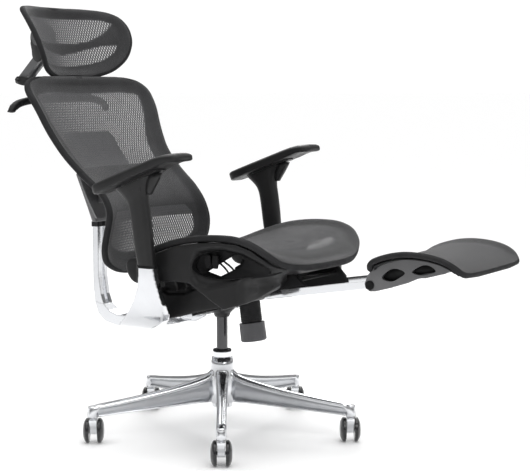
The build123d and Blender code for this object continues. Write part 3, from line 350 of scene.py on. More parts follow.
class Panel:
    """The stretched surface inside a rim: rows run from the rim's left to its
    right, bowed to a centre line."""

    def __init__(self, half, centre, key, skip=0.0, ns=120, nt=97):
        path = smooth_path(half, 600)
        rim = [q for q in path if abs(q[0]) >= skip]
        s = [0.0]
        for a, b in zip(rim[:-1], rim[1:]):
            s.append(s[-1] + float(np.linalg.norm(b - a)))
        self.ns, self.nt = ns, nt
        cut = [i for i, q in enumerate(path) if abs(q[0]) >= skip]
        last = [q for q in rim]
        # leave out the run along the lower middle too, where rows would fold up
        end = len(last)
        while end > 2 and abs(last[end - 1][0]) < skip:
            end -= 1
        last = last[:end]
        s = s[:end]
        self.rows = []
        for u in np.linspace(0, s[-1], ns):
            q = np.array([np.interp(u, s, [p[k] for p in last]) for k in range(3)])
            self.rows.append(q)
        self.path = path
        self.key, self.centre = key, centre
        ks = [c[0] for c in centre]
        self.grid = np.zeros((ns, nt, 3))
        self.nrm = np.zeros((ns, nt, 3))
        for i, q in enumerate(self.rows):
            k = q[key]
            yc = along(ks, [c[1] for c in centre], k)
            zc = along(ks, [c[2] for c in centre], k)
            for j, t in enumerate(np.linspace(-1, 1, nt)):
                self.grid[i, j] = (q[0] * t, yc + (q[1] - yc) * t * t, zc + (q[2] - zc) * t * t)
        gu = np.gradient(self.grid, axis=1)
        gv = np.gradient(self.grid, axis=0)
        n = np.cross(gu, gv)
        self.nrm = n / np.maximum(np.linalg.norm(n, axis=2, keepdims=True), 1e-9)
        # distance of every grid point from the rim
        loop = np.array([p for p in path] + [(-p[0], p[1], p[2]) for p in path])[::3]
        g = self.grid.reshape(-1, 3)
        d = np.full(len(g), 1e9)
        for part in np.array_split(loop, 12):
            d = np.minimum(d, np.sqrt(((g[:, None, :] - part[None]) ** 2).sum(2)).min(1))
        self.edge = d.reshape(ns, nt)
        # cloth coordinates: width along the rows, length along the middle
        mid = self.grid[:, nt // 2]
        v = np.r_[0, np.cumsum(np.linalg.norm(np.diff(mid, axis=0), axis=1))]
        w = np.zeros((ns, nt))
        for i in range(ns):
            step_ = np.linalg.norm(np.diff(self.grid[i], axis=0), axis=1)
            c = np.r_[0, np.cumsum(step_)]
            w[i] = c - c[nt // 2]
        self.u, self.v = w, np.repeat(v[:, None], nt, 1)
        self.length, self.width = float(v[-1]), float(np.ptp(w, axis=1).max())

    def cloth(self, name, mat, body, nodes, zone, rests, slot, lift=0.0, thick=0.9):
        """The woven sheet itself, with its open and closed zones."""
        ns, nt = self.ns, self.nt
        # the cloth is drawn over the top of the rim and settles inside it
        k = np.clip(self.edge / 30.0, 0, 1)
        pts = (self.grid - self.nrm * (lift * (1 - k * k * (3 - 2 * k)))[..., None]).reshape(-1, 3)
        faces = [(i * nt + j, i * nt + j + 1, (i + 1) * nt + j + 1, (i + 1) * nt + j)
                 for i in range(ns - 1) for j in range(nt - 1)]
        ob = make(name, pts, faces, mat, body, nodes)
        me = ob.data
        at = me.attributes.new("open", "FLOAT", "POINT")
        at.data.foreach_set("value", np.array(
            [zone(*self.grid[i, j], self.edge[i, j]) for i in range(ns) for j in range(nt)], np.float32))
        uv = me.uv_layers.new(name="cloth")
        u, v = self.u.ravel() * 0.001, self.v.ravel() * 0.001
        for lp in me.loops:
            uv.data[lp.index].uv = (u[lp.vertex_index], v[lp.vertex_index])
        md = ob.modifiers.new("yarn", "SOLIDIFY")
        md.thickness, md.offset = thick * 0.001, 0.0
        return ob

    def band(self, name, mat, body, inner, outer, near, far, sides=None):
        """A moulded flange: the ring of the surface between two distances from
        the rim, from depth near to depth far behind the cloth."""
        ns, nt = self.ns, self.nt
        keep = (self.edge < inner) & (self.edge >= outer)
        if sides is not None:
            keep &= sides(self.grid)
        top = self.grid + self.nrm * near
        bot = self.grid + self.nrm * far
        verts = np.concatenate([top.reshape(-1, 3), bot.reshape(-1, 3)])
        off = ns * nt
        quads = []
        cell = np.zeros((ns - 1, nt - 1), bool)
        for i in range(ns - 1):
            for j in range(nt - 1):
                cell[i, j] = keep[i:i + 2, j:j + 2].any()
        for i in range(ns - 1):
            for j in range(nt - 1):
                if not cell[i, j]:
                    continue
                a, b, c, d = i * nt + j, i * nt + j + 1, (i + 1) * nt + j + 1, (i + 1) * nt + j
                quads.append((a, b, c, d))
                quads.append((off + d, off + c, off + b, off + a))
                for (p, q, ii, jj) in ((a, b, i - 1, j), (b, c, i, j + 1), (c, d, i + 1, j), (d, a, i, j - 1)):
                    if not (0 <= ii < ns - 1 and 0 <= jj < nt - 1) or not cell[ii, jj]:
                        quads.append((q, p, off + p, off + q))
        ob = make(name, verts, quads, mat, body)
        bm = bmesh.new()
        bm.from_mesh(ob.data)
        bmesh.ops.delete(bm, geom=[v for v in bm.verts if not v.link_faces], context="VERTS")
        bm.to_mesh(ob.data)
        bm.free()
        return ob


BACK_HALF = [(0, 450, 884), (104, 450, 884), (180, 438, 884), (225, 427, 875),
             (246, 409, 855), (241.5, 382, 814), (227.5, 357, 755),
             (211, 323, 697), (201, 268, 643), (194, 218, 604),
             (199.5, 191, 563), (216.5, 188, 519), (221.5, 195.5, 477),
             (202, 207, 441), (151, 219, 418), (88, 232, 405), (0, 232, 405)]
BACK_MID = [(884, 450, 884), (873, 450, 873), (856, 440, 856), (815, 420, 815), (756, 395, 756),
            (698, 359, 698), (643, 306, 643), (604, 260, 604), (563, 235, 563), (519, 230, 519),
            (477, 235, 477), (452, 236, 452), (430, 236, 430), (416, 233.5, 416), (405, 232, 405)]
HEAD_HALF = [(0, 535, 1066), (68, 535, 1066), (130, 515, 1065), (170, 489, 1061),
             (192, 462, 1048), (199, 438, 1022), (192.5, 421, 986),
             (172, 420, 944), (139, 438, 912), (96, 457, 897),
             (45, 471, 890.5), (0, 471, 890.5)]
HEAD_MID = [(1066, 536, 1066), (1053, 535, 1055), (1044, 532, 1044), (1021, 525, 1021), (986, 512, 986),
            (947, 500, 945), (922, 490, 920), (909, 484, 906), (898, 477, 898), (890.5, 471, 890.5)]
SEAT_HALF = [(0, 122, 450), (115, 122, 450), (186, 110, 452), (226, 84, 461),
             (243, 38, 482), (246, -40, 508), (243.5, -100, 517.5),
             (240, -155, 520.5), (238, -200, 518.5), (232, -239, 506),
             (212, -266, 482), (172, -283, 459.5), (110, -305, 450),
             (55, -318, 449), (0, -318, 449)]
SEAT_MID = [(122, 122, 449), (104, 108, 446), (80, 88, 444), (35, 38, 452), (-40, -40, 476), (-100, -100, 487),
            (-155, -155, 493), (-200, -205, 494), (-239, -250, 489), (-266, -282, 473.5), (-283, -300, 460),
            (-305, -313, 452), (-318, -318, 449)]
FOOT_HALF = [(0, -482, 458), (70, -482, 458), (136, -483, 459),
             (162, -497, 478), (166, -527, 491), (168, -566, 501),
             (170, -600, 504), (171, -637, 502), (171, -672, 495.5),
             (168, -700, 483), (154, -718, 464), (90, -722, 461), (0, -722, 461)]
FOOT_MID = [(-482, -482, 459), (-490, -489, 465), (-500, -499, 475), (-528, -528, 486), (-566, -566, 494),
            (-600, -600, 496.5), (-637, -637, 495), (-671, -671, 489.5), (-700, -702, 479), (-712, -714, 468),
            (-722, -722, 461)]
back = Panel(BACK_HALF, BACK_MID, 2, skip=84, ns=170, nt=121)
head = Panel(HEAD_HALF, HEAD_MID, 2, skip=40, ns=110, nt=121)
seat = Panel(SEAT_HALF, SEAT_MID, 1, skip=50, ns=130, nt=121)
foot = Panel(FOOT_HALF, FOOT_MID, 1, skip=60, ns=90, nt=97)


def back_zone(x, y, z, e):
    a = abs(x)
    side = 36 if z > 800 else 36 + 12 * step(800 - z, 0, 80)
    if z > 664:
        top = step(e, side, side + 3) * step(858 - z, 0, 3)
        return top
    if z > 562:
        return 0.16 * step(e, 22, 26)
    return step(e, 43, 46) * step(560 - z - 14 * step(a, 135, 185) - 9 * (1 - step(e, 43, 60)), 0, 3)


def head_zone(x, y, z, e):
    a = abs(x)
    up = 976 + 5 * step(a, 50, 80) + along([0, 79, 123, 155, 172, 200], [0, 0, 15, 37, 52, 60], a)
    hi = step(z - up, 0, 3) * step(e, 22, 25) * step(176 - a, 0, 4)
    cap = along([0, 48, 95, 134, 160, 200], [949, 957, 969, 977, 978, 978], a)
    lo = step(cap - z, 0, 3) * step(e, 31, 34)
    return max(hi, lo)


def seat_zone(x, y, z, e):
    # more open towards the front; since the yarn's tone follows openness, this also paints a lighter highlight over the
    # front of the seat
    return step(e, 30, 70) * (0.40 + 0.45 * step(-y, 60, 240))


def foot_zone(x, y, z, e):
    return 0.22 * step(e, 14, 20)


back_cloth = back.cloth("back_cloth", M["mesh"], "backrest", ["back_mesh"], back_zone, ["back_rim"], "mesh_fabric", lift=8.0)
head_cloth = head.cloth("headrest_cloth", M["head_mesh"], "headrest", ["headrest_mesh"], head_zone, ["headrest_rim"], "mesh_fabric", lift=7.0)
seat_cloth = seat.cloth("seat_cloth", M["seat_mesh"], "seat", ["seat_mesh"], seat_zone, ["seat_rim"], "mesh_fabric", lift=8.4)
foot_cloth = foot.cloth("footrest_cloth", M["seat_mesh"], "footrest", ["footrest_mesh"], foot_zone, ["footrest_rim"], "mesh_fabric", lift=6.5)
back.band("back_flange", M["frame"], "backrest", 24, -1, 1.6, 5.0)
head.band("headrest_flange", M["frame"], "headrest", 17, -1, 1.6, 4.5)
seat.band("seat_flange", M["frame"], "seat", 26, -1, 1.6, 6.0)
foot.band("footrest_flange", M["frame"], "footrest", 15, -1, 1.6, 5.0)

# --------------------------------------------------------------------------
# detailed pieces, in place of the plain solids
# --------------------------------------------------------------------------
def rounded(name, node_name, mat, body, voxel=2.4, passes=6, push=None):
    """A moulding with soft, flowing edges over the solid's own form."""
    src = NODES[node_name]
    me = src.data.copy()
    me.transform(src.matrix_world)
    ob = bpy.data.objects.new(name, me)
    scene.collection.objects.link(ob)
    bm = bmesh.new()
    bm.from_mesh(me)
    bmesh.ops.remove_doubles(bm, verts=bm.verts, dist=0.00002)
    bm.to_mesh(me)
    bm.free()
    rm = ob.modifiers.new("skin", "REMESH")
    rm.mode, rm.voxel_size, rm.use_smooth_shade = "VOXEL", voxel * 0.001, True
    sm = ob.modifiers.new("flow", "SMOOTH")
    sm.factor, sm.iterations = 0.5, passes
    bpy.context.view_layer.update()
    ev = ob.evaluated_get(bpy.context.evaluated_depsgraph_get())
    out = bpy.data.meshes.new_from_object(ev)
    ob.modifiers.clear()
    ob.data = out
    co = np.zeros(len(out.vertices) * 3, np.float32)
    out.vertices.foreach_get("co", co)
    co = co.reshape(-1, 3) * 1000.0
    if push:
        nr = np.zeros(len(out.vertices) * 3, np.float32)
        out.vertices.foreach_get("normal", nr)
        co = push(co, nr.reshape(-1, 3))
    out.vertices.foreach_set("co", (co * 0.001).ravel().astype(np.float32))
    out.materials.clear()
    out.materials.append(mat)
    for p in out.polygons:
        p.use_smooth = True
    out.update()
    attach(ob, body)
    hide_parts(node_name)
    return ob


def solid(name, verts, faces, mat, body, slot, nodes=(), sub=0):
    ob = make(name, verts, faces, mat, body, nodes)
    fix_normals(ob)
    if sub:
        subdivide(ob, sub)
    return ob


def lathe(name, profile, mat, body, slot, centre=(0, 0), n=72, nodes=()):
    """A turned piece about the vertical through centre; profile is (radius, z)."""
    rings = []
    for r, z in profile:
        rings.append([(centre[0] + r * math.cos(a), centre[1] + r * math.sin(a), z)
                      for a in np.linspace(0, 2 * math.pi, n, endpoint=False)])
    v, f = loft(rings, cap=False, loop=True)
    return solid(name, v, f, mat, body, slot, nodes)


def inside(poly, y, z):
    """Which points lie in the outline, and how far each is from it."""
    p = np.array(poly, float)
    q = np.roll(p, -1, axis=0)
    hit = np.zeros(len(y), bool)
    dist = np.full(len(y), 1e9)
    for (y1, z1), (y2, z2) in zip(p, q):
        cross = (z1 > z) != (z2 > z)
        with np.errstate(divide="ignore", invalid="ignore"):
            x = (y2 - y1) * (z - z1) / (z2 - z1) + y1
        hit ^= cross & (y < x)
        d = np.array([y2 - y1, z2 - z1])
        t = np.clip(((y - y1) * d[0] + (z - z1) * d[1]) / (d @ d), 0, 1)
        dist = np.minimum(dist, np.hypot(y - y1 - t * d[0], z - z1 - t * d[1]))
    return hit, dist


# side frames: a bevelled basin round the opening, then a smooth skirt below
BASIN = [(-78, 462), (-92, 494), (-130, 503), (-166, 505), (-217, 495), (-252, 476), (-279, 455),
         (-262, 440), (-215, 424), (-165, 410), (-126, 401), (-96, 408), (-80, 426)]
EYE = [(-84, 452), (-96, 476), (-130, 488), (-174, 491), (-214, 483), (-246, 466), (-268, 446),
       (-250, 438), (-215, 434), (-165, 428), (-125, 430), (-96, 438)]
NOTCH = [(22, 398), (-34, 408), (-64, 392), (-30, 376), (20, 372), (44, 384)]


def sculpt(sgn):
    def push(co, nr):
        # the front tip tucks in under the seat
        f_ = np.clip((-co[:, 1] - 200) / 62.0, 0, 1)
        g_ = np.clip((462 - co[:, 2]) / 52.0, 0, 1)
        k = f_ * f_ * (3 - 2 * f_) * g_ * g_ * (3 - 2 * g_)
        co[:, 0] -= sgn * 70.0 * k
        co[:, 1] += 31.6 * k
        co[:, 2] -= 5.6 * k
        out = nr[:, 0] * sgn > 0.35
        inn, d = inside(BASIN, co[:, 1], co[:, 2])
        k = np.where(inn, np.clip(d / 13.0, 0, 1), 0) * out
        co[:, 0] -= sgn * 8.0 * k * k * (3 - 2 * k)
        inn, d = inside(NOTCH, co[:, 1], co[:, 2])
        k = np.where(inn, np.clip(d / 6.0, 0, 1), 0) * out
        co[:, 0] -= sgn * 5.0 * k
        # a crease that runs back from the opening's lower corner
        line = 402 - 0.10 * (co[:, 1] + 100)
        k = np.exp(-((co[:, 2] - line) / 3.2) ** 2) * (co[:, 1] > -92) * (co[:, 1] < 60) * out
        co[:, 0] -= sgn * 2.2 * k
        return co
    return push


PLAN = [(-290, 168), (-281, 190), (-266, 214), (-240, 234), (-205, 245), (-155, 252), (-100, 256), (-40, 258), (42, 255), (90, 236)]


def curved_in(x, y, z):
    """The opening's lining moved in with the frame's outer face."""
    x -= max(0.0, 252.0 - along([q[0] for q in PLAN], [q[1] for q in PLAN], y))
    a, b = min(max((-y - 200) / 62.0, 0), 1), min(max((462 - z) / 52.0, 0), 1)
    return x - 34.0 * a * a * (3 - 2 * a) * b * b * (3 - 2 * b)


HOLE = [(-105.5, 439.3), (-154.2, 468.4), (-176.0, 480.8), (-195.5, 483.8), (-201.1, 471.4),
        (-193.3, 459.9), (-175.9, 447.8), (-140.9, 430.5)]


def by_angle(poly, c, n):
    """The outline's points at even angles about c."""
    out = []
    p = [np.array(q, float) for q in poly]
    for a in np.linspace(0, 2 * math.pi, n, endpoint=False):
        d = np.array([math.cos(a), math.sin(a)])
        best = None
        for q, r in zip(p, p[1:] + p[:1]):
            e = r - q
            det = d[0] * -e[1] + e[0] * d[1]
            if abs(det) < 1e-9:
                continue
            w = q - np.array(c)
            t = (w[0] * -e[1] + e[0] * w[1]) / det
            s_ = (d[0] * w[1] - d[1] * w[0]) / det
            if t > 0 and -1e-6 <= s_ <= 1 + 1e-6 and (best is None or t > best):
                best = t
        out.append(np.array(c) + d * (best or 1.0))
    return out


def tongue(sgn):
    """The bracket's upper end narrows to fit inside the column's foot."""
    def push(co, nr):
        k = np.clip((co[:, 2] - 449) / 5.0, 0, 1)
        co[:, 0] += (sgn * 285.5 - co[:, 0]) * 0.45 * k
        co[:, 1] += (20.0 - co[:, 1]) * 0.42 * k
        return co
    return push


for sgn, side in ((-1, "right"), (1, "left")):
    rounded("side_shell_" + side, "side_frame_" + side, M["frame"], "seat",
            voxel=2.2, passes=7, push=sculpt(sgn))
    c = (-160, 458)
    n = 96
    outer = by_angle([(c[0] + (y - c[0]) * 1.10, c[1] + (z - c[1]) * 1.16) for y, z in EYE], c, n)
    hole = by_angle(HOLE, c, n)
    rings = []
    for t, x in ((0.0, 232.5), (0.10, 229.5), (0.45, 225.0), (0.86, 222.0), (1.0, 219.5), (1.0, 216.0), (0.5, 217.0), (0.0, 219.0)):
        k = t if not (sgn > 0) else t * 0.72
        pts = [a + (b - a) * k for a, b in zip(outer, hole)]
        rings.append([(sgn * curved_in(x, q[0], q[1]), q[0], q[1]) for q in pts])
    v, f = loft(rings, cap=False, loop=True)
    # the opening's lining in the darker copy of the black: painted shade inside the recess
    solid("eye_liner_" + side, v, f, M["dark"], "seat", "frame_plastic")
    rounded("arm_bracket_" + side, "arm_support_" + side, M["alloy"], body_of(NODES["arm_support_" + side])[0],
            voxel=2.0, passes=8, push=tongue(sgn))

# heel of each side frame, behind the arm's bracket
HEEL = [(62, 462), (84, 462), (103, 461), (115, 456.5), (121.2, 448.5), (122, 440), (120.6, 430.8), (117, 420.5), (111.2, 411.6),
        (104.5, 405), (97.5, 401), (84, 397.6), (62, 398)]
for sgn, side in ((-1, "right"), (1, "left")):
    rings = []
    for x, k in ((206.0, 0.80), (210.0, 0.93), (216.0, 0.985), (226.0, 1.0), (231.0, 0.99), (235.0, 0.95), (237.0, 0.86)):
        rings.append([(sgn * x, 62 + (y - 62) * k, 430 + (z - 430) * k) for y, z in HEEL])
    v, f = loft(rings)
    solid("side_heel_" + side, v, f, M["frame"], "seat", "frame_plastic", sub=1)

# seat: one lip that runs round the front edge from side frame to side frame
LIP = [(0, -322, 434, 456), (55, -319, 433.5, 456), (110, -309, 432, 456), (140, -300, 433, 457), (168, -290, 436, 459),
       (190, -280, 438, 464), (206, -268, 442, 472), (214, -258, 447, 478)]
rings = []
xs = np.linspace(-214, 214, 121)
for x in xs:
    a = abs(x)
    y, lo_, hi_ = [along([q[0] for q in LIP], [q[k] for q in LIP], a) for k in (1, 2, 3)]
    y2 = along([q[0] for q in LIP], [q[1] for q in LIP], a + 1.0 if a < 213 else a - 1.0)
    dx, dy = (1.0, y2 - y) if a < 213 else (1.0, y - y2)
    ln = math.hypot(dx, dy)
    nx, ny = math.copysign(dy / ln, x) if x else 0.0, -dx / ln
    ring = []
    for o, k in ((-9, 0.06), (-5, 0.0), (-1.5, 0.03), (0.5, 0.14), (1.6, 0.45), (1.2, 0.75), (-0.5, 0.94), (-4, 1.0), (-9, 1.0), (-10, 0.5)):
        o -= 30.0 * (1 - k)
        ring.append((x + nx * o, y + ny * o, lo_ + (hi_ - lo_) * k))
    rings.append(ring)
v, f = loft(rings)
solid("seat_lip", v, f, M["frame"], "seat", "frame_plastic", ["front_apron"])



def nose(co, nr):
    # the channels' noses slope back to the lip
    k = np.clip((co[:, 2] - 404) / 30.0, 0, 1)
    lim = -303 + 27 * k
    f_ = co[:, 1] < -255
    co[:, 1] = np.where(f_, -255 + (co[:, 1] + 255) * (lim + 255) / (-318.0 + 255), co[:, 1])
    # the ties stop inside the side frames' tucked tips
    a = np.abs(co[:, 0])
    co[:, 0] = np.sign(co[:, 0]) * np.where(a > 120, 120 + (a - 120) * 24.0 / 70.0, a)
    return co


# channels in the darker copy of the black: painted shade under the seat
rounded("rail_channels", "rail_guides", M["dark"], "seat", voxel=1.8, passes=3, push=nose)

# arms
PT = math.radians(20.5)
PAD_CURVE = [(149.2, 616.9), (100, 635.3), (50, 654.0), (0, 672.7), (-30, 683.9), (-48, 690.2), (-60, 693.4),
             (-72, 695.2), (-84, 696.4), (-97, 697.6)]
PAD_WIDTH = [(0.0, 22), (0.02, 31), (0.06, 38), (0.14, 42), (0.30, 43.5), (0.60, 44), (0.84, 44), (0.93, 42), (0.975, 37), (1.0, 27)]
SL_T = [462.0, 500, 540, 575, 602, 626, 648]
SL_F = [(-2.7, 447), (-1, 462), (3, 500), (6.5, 539), (12, 580), (16.3, 612), (13.5, 640), (2.7, 664.8)]
SL_R = [(40, 447), (44, 462), (52, 500), (58.5, 545), (64.5, 580), (72, 599), (85, 613), (103.5, 627.5)]


def resample(pts, n):
    p = np.array(pts, float)
    s_ = np.r_[0, np.cumsum(np.linalg.norm(np.diff(p, axis=0), axis=1))]
    return [np.array([along(s_, p[:, k], x) for k in range(p.shape[1])]) for x in np.linspace(0, s_[-1], n)]


for sgn, side in ((-1, "right"), (1, "left")):
    px = sgn * 294.0
    line = resample(PAD_CURVE, 60)
    rings = []
    for i, q in enumerate(line):
        t = i / (len(line) - 1)
        a, b = line[max(i - 1, 0)], line[min(i + 1, len(line) - 1)]
        d = (b - a) / np.linalg.norm(b - a)
        up_ = np.array([-d[1], d[0]])
        if up_[1] < 0:
            up_ = -up_
        w = along([k[0] for k in PAD_WIDTH], [k[1] for k in PAD_WIDTH], t)
        end = min(1.0, min(t / 0.022, (1 - t) / 0.045))
        end = math.sqrt(max(0.0, 1 - (1 - end) ** 2))
        th = 6.0 + (13.0 - 3.5 * step(t, 0.72, 0.95)) * end
        ring = []
        for a_ in np.linspace(0, 2 * math.pi, 48, endpoint=False):
            ca, sa = math.cos(a_), math.sin(a_)
            x = w * math.copysign(abs(ca) ** 0.42, ca)
            h = math.copysign(abs(sa) ** (0.62 if sa > 0 else 0.40), sa)
            lift = 3.0 * (1 - (x / w) ** 2) if sa > 0 else 0.0
            hh = 0.5 * th * (1 + h) + lift * end - 2.0 * (1 - end)
            hh = hh + 0.5 * (19 - th) - (4.5 * end * (1 - 0.6 * step(t, 0.72, 0.95)) if sa < 0 else 0.0)
            ring.append((px + x, q[0] + up_[0] * hh, q[1] + up_[1] * hh))
        rings.append(ring)
    v, f = loft(rings)
    pad = solid("arm_cushion_" + side, v, f, M["pad"], body_of(NODES["arm_pad_" + side])[0], "arm_pad", ["arm_pad_" + side])
    cx = sgn * 285.5
    front, rear = resample(SL_F, 34), resample(SL_R, 34)
    rings = []
    for i, (a, b) in enumerate(zip(front, rear)):
        t = i / 33
        w = 12.5 if t < 0.72 else 12.5 + 4.0 * step(t, 0.72, 1.0)
        ring = []
        for s_, x in ((0.0, -0.45), (0.0, 0.45), (0.05, 0.72), (0.17, 0.97), (0.30, 1.0), (0.55, 1.0), (0.82, 0.98), (0.95, 0.80),
                      (1.0, 0.5), (1.0, -0.5), (0.95, -0.80), (0.82, -0.98), (0.55, -1.0), (0.30, -1.0), (0.17, -0.97), (0.05, -0.72)):
            q = a + (b - a) * s_
            ring.append((cx + x * w, q[0], q[1]))
        rings.append(ring)
    # open at the foot, where the stem runs in
    v, f = loft(rings, cap=False)
    sl = solid("arm_column_" + side, v, f, M["arm"], body_of(NODES["arm_sleeve_" + side])[0], "arm_plastic", ["arm_sleeve_" + side])
    # collar at the column's foot, seam shadow below it
    rings = []
    for z, g in ((446.5, 0.0), (446.5, 1.6), (451.5, 1.9), (452.5, 0.2)):
        y0, y1 = -1 - g + (z - 462) * 0.11, 44 + g + (z - 462) * 0.26
        w = 12.5 + g
        rings.append([(cx + x * w, y0 + (y1 - y0) * s_, z) for s_, x in
                      ((0.0, -0.5), (0.0, 0.5), (0.15, 1.0), (0.85, 1.0), (1.0, 0.6), (1.0, -0.6), (0.85, -1.0), (0.15, -1.0))])
    v, f = loft(rings, cap=False)
    solid("arm_collar_" + side, v, f, M["dark"], body_of(NODES["arm_sleeve_" + side])[0], "arm_plastic")
    # release blade under the pad, against the column's front
    rings = []
    for y0, y1, z, w in ((-24, 10, 668, 9.5), (-18, 13, 656, 9.5), (-9, 15, 641, 9), (0, 16, 627, 8), (5, 16.5, 618, 6)):
        rings.append([(cx + x * w, y0 + (y1 - y0) * k, z) for x, k in
                      ((-0.4, 0), (0.4, 0), (0.85, 0.14), (1, 0.35), (1, 1), (-1, 1), (-1, 0.35), (-0.85, 0.14))])
    v, f = loft(rings)
    solid("arm_trigger_" + side, v, f, M["arm"], body_of(NODES["arm_sleeve_" + side])[0], "arm_plastic")

HB = (29.0, 35.0, 994.5)
# headrest: slim bow hidden by the closed middle of its cloth, rounded block
i0 = [k for k, q in enumerate(head.rows)]
rings = []
for x in np.linspace(-186, 186, 61):
    a = abs(x)
    zc = along([0, 48, 95, 134, 160, 190], [963, 966, 975, 984, 990, 996], a)
    k = int(np.argmin([abs(q[2] - zc) + (1000 if abs(q[0]) < a else 0) for q in head.rows]))
    row = head.grid[k]
    y = float(np.interp(x, row[:, 0], row[:, 1]))
    h = 9.0 - 3.0 * step(a, 120, 186)
    d0, d1 = 4.0, 13.0 - 5 * step(a, 100, 186)
    rings.append([(x, y + d, zc + z) for d, z in ((d0, -h * 0.8), (d0, h * 0.8), (d0 + 2, h), (d1 - 2, h * 0.8), (d1, h * 0.3),
                                                  (d1, -h * 0.3), (d1 - 2, -h * 0.8), (d0 + 2, -h))])
v, f = loft(rings)
# the bow in the darker copy of the black: painted shade behind the cloth
solid("headrest_bow", v, f, M["dark"], "headrest", "frame_plastic")
rings = []
for k in range(25):
    t = math.pi * (k + 0.5) / 25
    x = -27.0 * math.cos(t)
    r = math.sin(t) ** 0.22
    rings.append([(x, 565 + HB[0] * r * math.cos(a), HB[2] + HB[1] * r * math.sin(a)) for a in np.linspace(0, 2 * math.pi, 40, endpoint=False)])
v, f = loft(rings)
solid("headrest_block", v, f, M["shell"], "headrest", "frame_plastic", ["headrest_carrier"])
# neck from the block to the bow, and the cheeks that hold the link's pivot
rings = []
for y, w, z0, z1 in ((522, 30, 958, 978), (530, 24, 958, 984), (542, 20, 960, 994), (556, 19, 964, 1000)):
    rings.append([(x * w, y, (z0 + z1) / 2 + k * (z1 - z0) / 2) for x, k in
                  ((-1, -0.6), (-0.8, -1), (0.8, -1), (1, -0.6), (1, 0.6), (0.8, 1), (-0.8, 1), (-1, 0.6))])
v, f = loft(rings)
solid("headrest_neck", v, f, M["black"], "headrest", "frame_plastic", sub=1)
cheek = [(552, 940), (556, 933), (564, 930), (573, 932), (580, 939), (583, 949), (584, 962), (588, 980), (585, 992),
         (548, 992), (545, 972), (548, 955)]
for sgn, side in ((-1, "right"), (1, "left")):
    rings = []
    for x, k in ((18.6, 0.94), (19.6, 1.0), (25.4, 1.0), (26.8, 0.93)):
        rings.append([(sgn * x, 566 + (y - 566) * k, 960 + (z - 960) * k) for y, z in cheek])
    v, f = loft(rings)
    solid("headrest_cheek_" + side, v, f, M["black"], "headrest", "frame_plastic")
rounded("coat_bar", "coat_hanger", M["black"], "backrest", voxel=2.2, passes=10, push=lambda co, nr: co + nr * 2.2)
rounded("spine_shell", "spine_cover", M["shell"], "backrest", voxel=2.4, passes=5)
rounded("top_block", "top_bracket", M["black"], "backrest", voxel=1.8, passes=4)

# footrest: closed tray under the cloth, and dark oval plates on its flanks painted as the shade in their dimpled
# recesses
foot.band("footrest_tray", M["frame"], "footrest", 999, 6, 8.0, 11.0)
RIB = [(-471, 428), (-474, 417), (-484, 411), (-498, 412), (-534, 422), (-576, 436), (-600, 447), (-664, 462),
       (-690, 476), (-672, 486), (-640, 491), (-600, 492), (-560, 488), (-522, 478), (-496, 464), (-478, 445)]
for sgn, side in ((-1, "right"), (1, "left")):
    c = (-560, 462)
    rings = []
    pts = [(c[0] + (y - c[0]) * 0.975, c[1] + (z - c[1]) * 0.93) for y, z in RIB]
    for x in (126.5, 124.0, 121.5):
        rings.append([(sgn * x, y, z) for y, z in pts])
    v, f = loft(rings)
    # thin flank plates in the darker copy of the black: painted shade standing for the recesses
    solid("footrest_flank_" + side, v, f, M["dark"], "footrest", "frame_plastic")
    # round cap over the hinge, in the darker copy of the black as painted shade under the footrest
    ring = [(10.5, 0.0), (10.5, 3.0), (9.4, 4.2), (4.0, 3.4), (0.2, 3.3)]
    rings = [[(sgn * (135.0 + d), -484 + r * math.cos(a), 425 + r * math.sin(a)) for a in np.linspace(0, 2 * math.pi, 40, endpoint=False)]
             for r, d in ring]
    v, f = loft(rings)
    solid("footrest_cap_" + side, v, f, M["dark"], "footrest", "frame_plastic")

# base: flowing top rails over recessed satin webs darkened as painted shade, bosses at the ends
LEGS = [213, 285, 357, 69, 141]
STN = [(24, 166, 83, 15), (40, 152, 82.5, 15.5), (62, 143.5, 82, 15), (90, 135.5, 80.5, 14), (150, 122, 77, 12.8), (230, 108.3, 72, 12),
       (290, 99.6, 68, 12), (314, 96.6, 66.5, 12.2), (327, 94.2, 66, 12.4), (337, 88.5, 66, 11.6), (342.5, 78, 66, 9.0)]
rail_v, rail_f, web_v, web_f = [], [], [], []


def put(vs, fs, v, f, a):
    ca, sa = math.cos(a), math.sin(a)
    off = len(vs)
    vs += [(x * ca - y * sa, x * sa + y * ca, z) for x, y, z in v]
    fs += [tuple(off + k for k in q) for q in f]


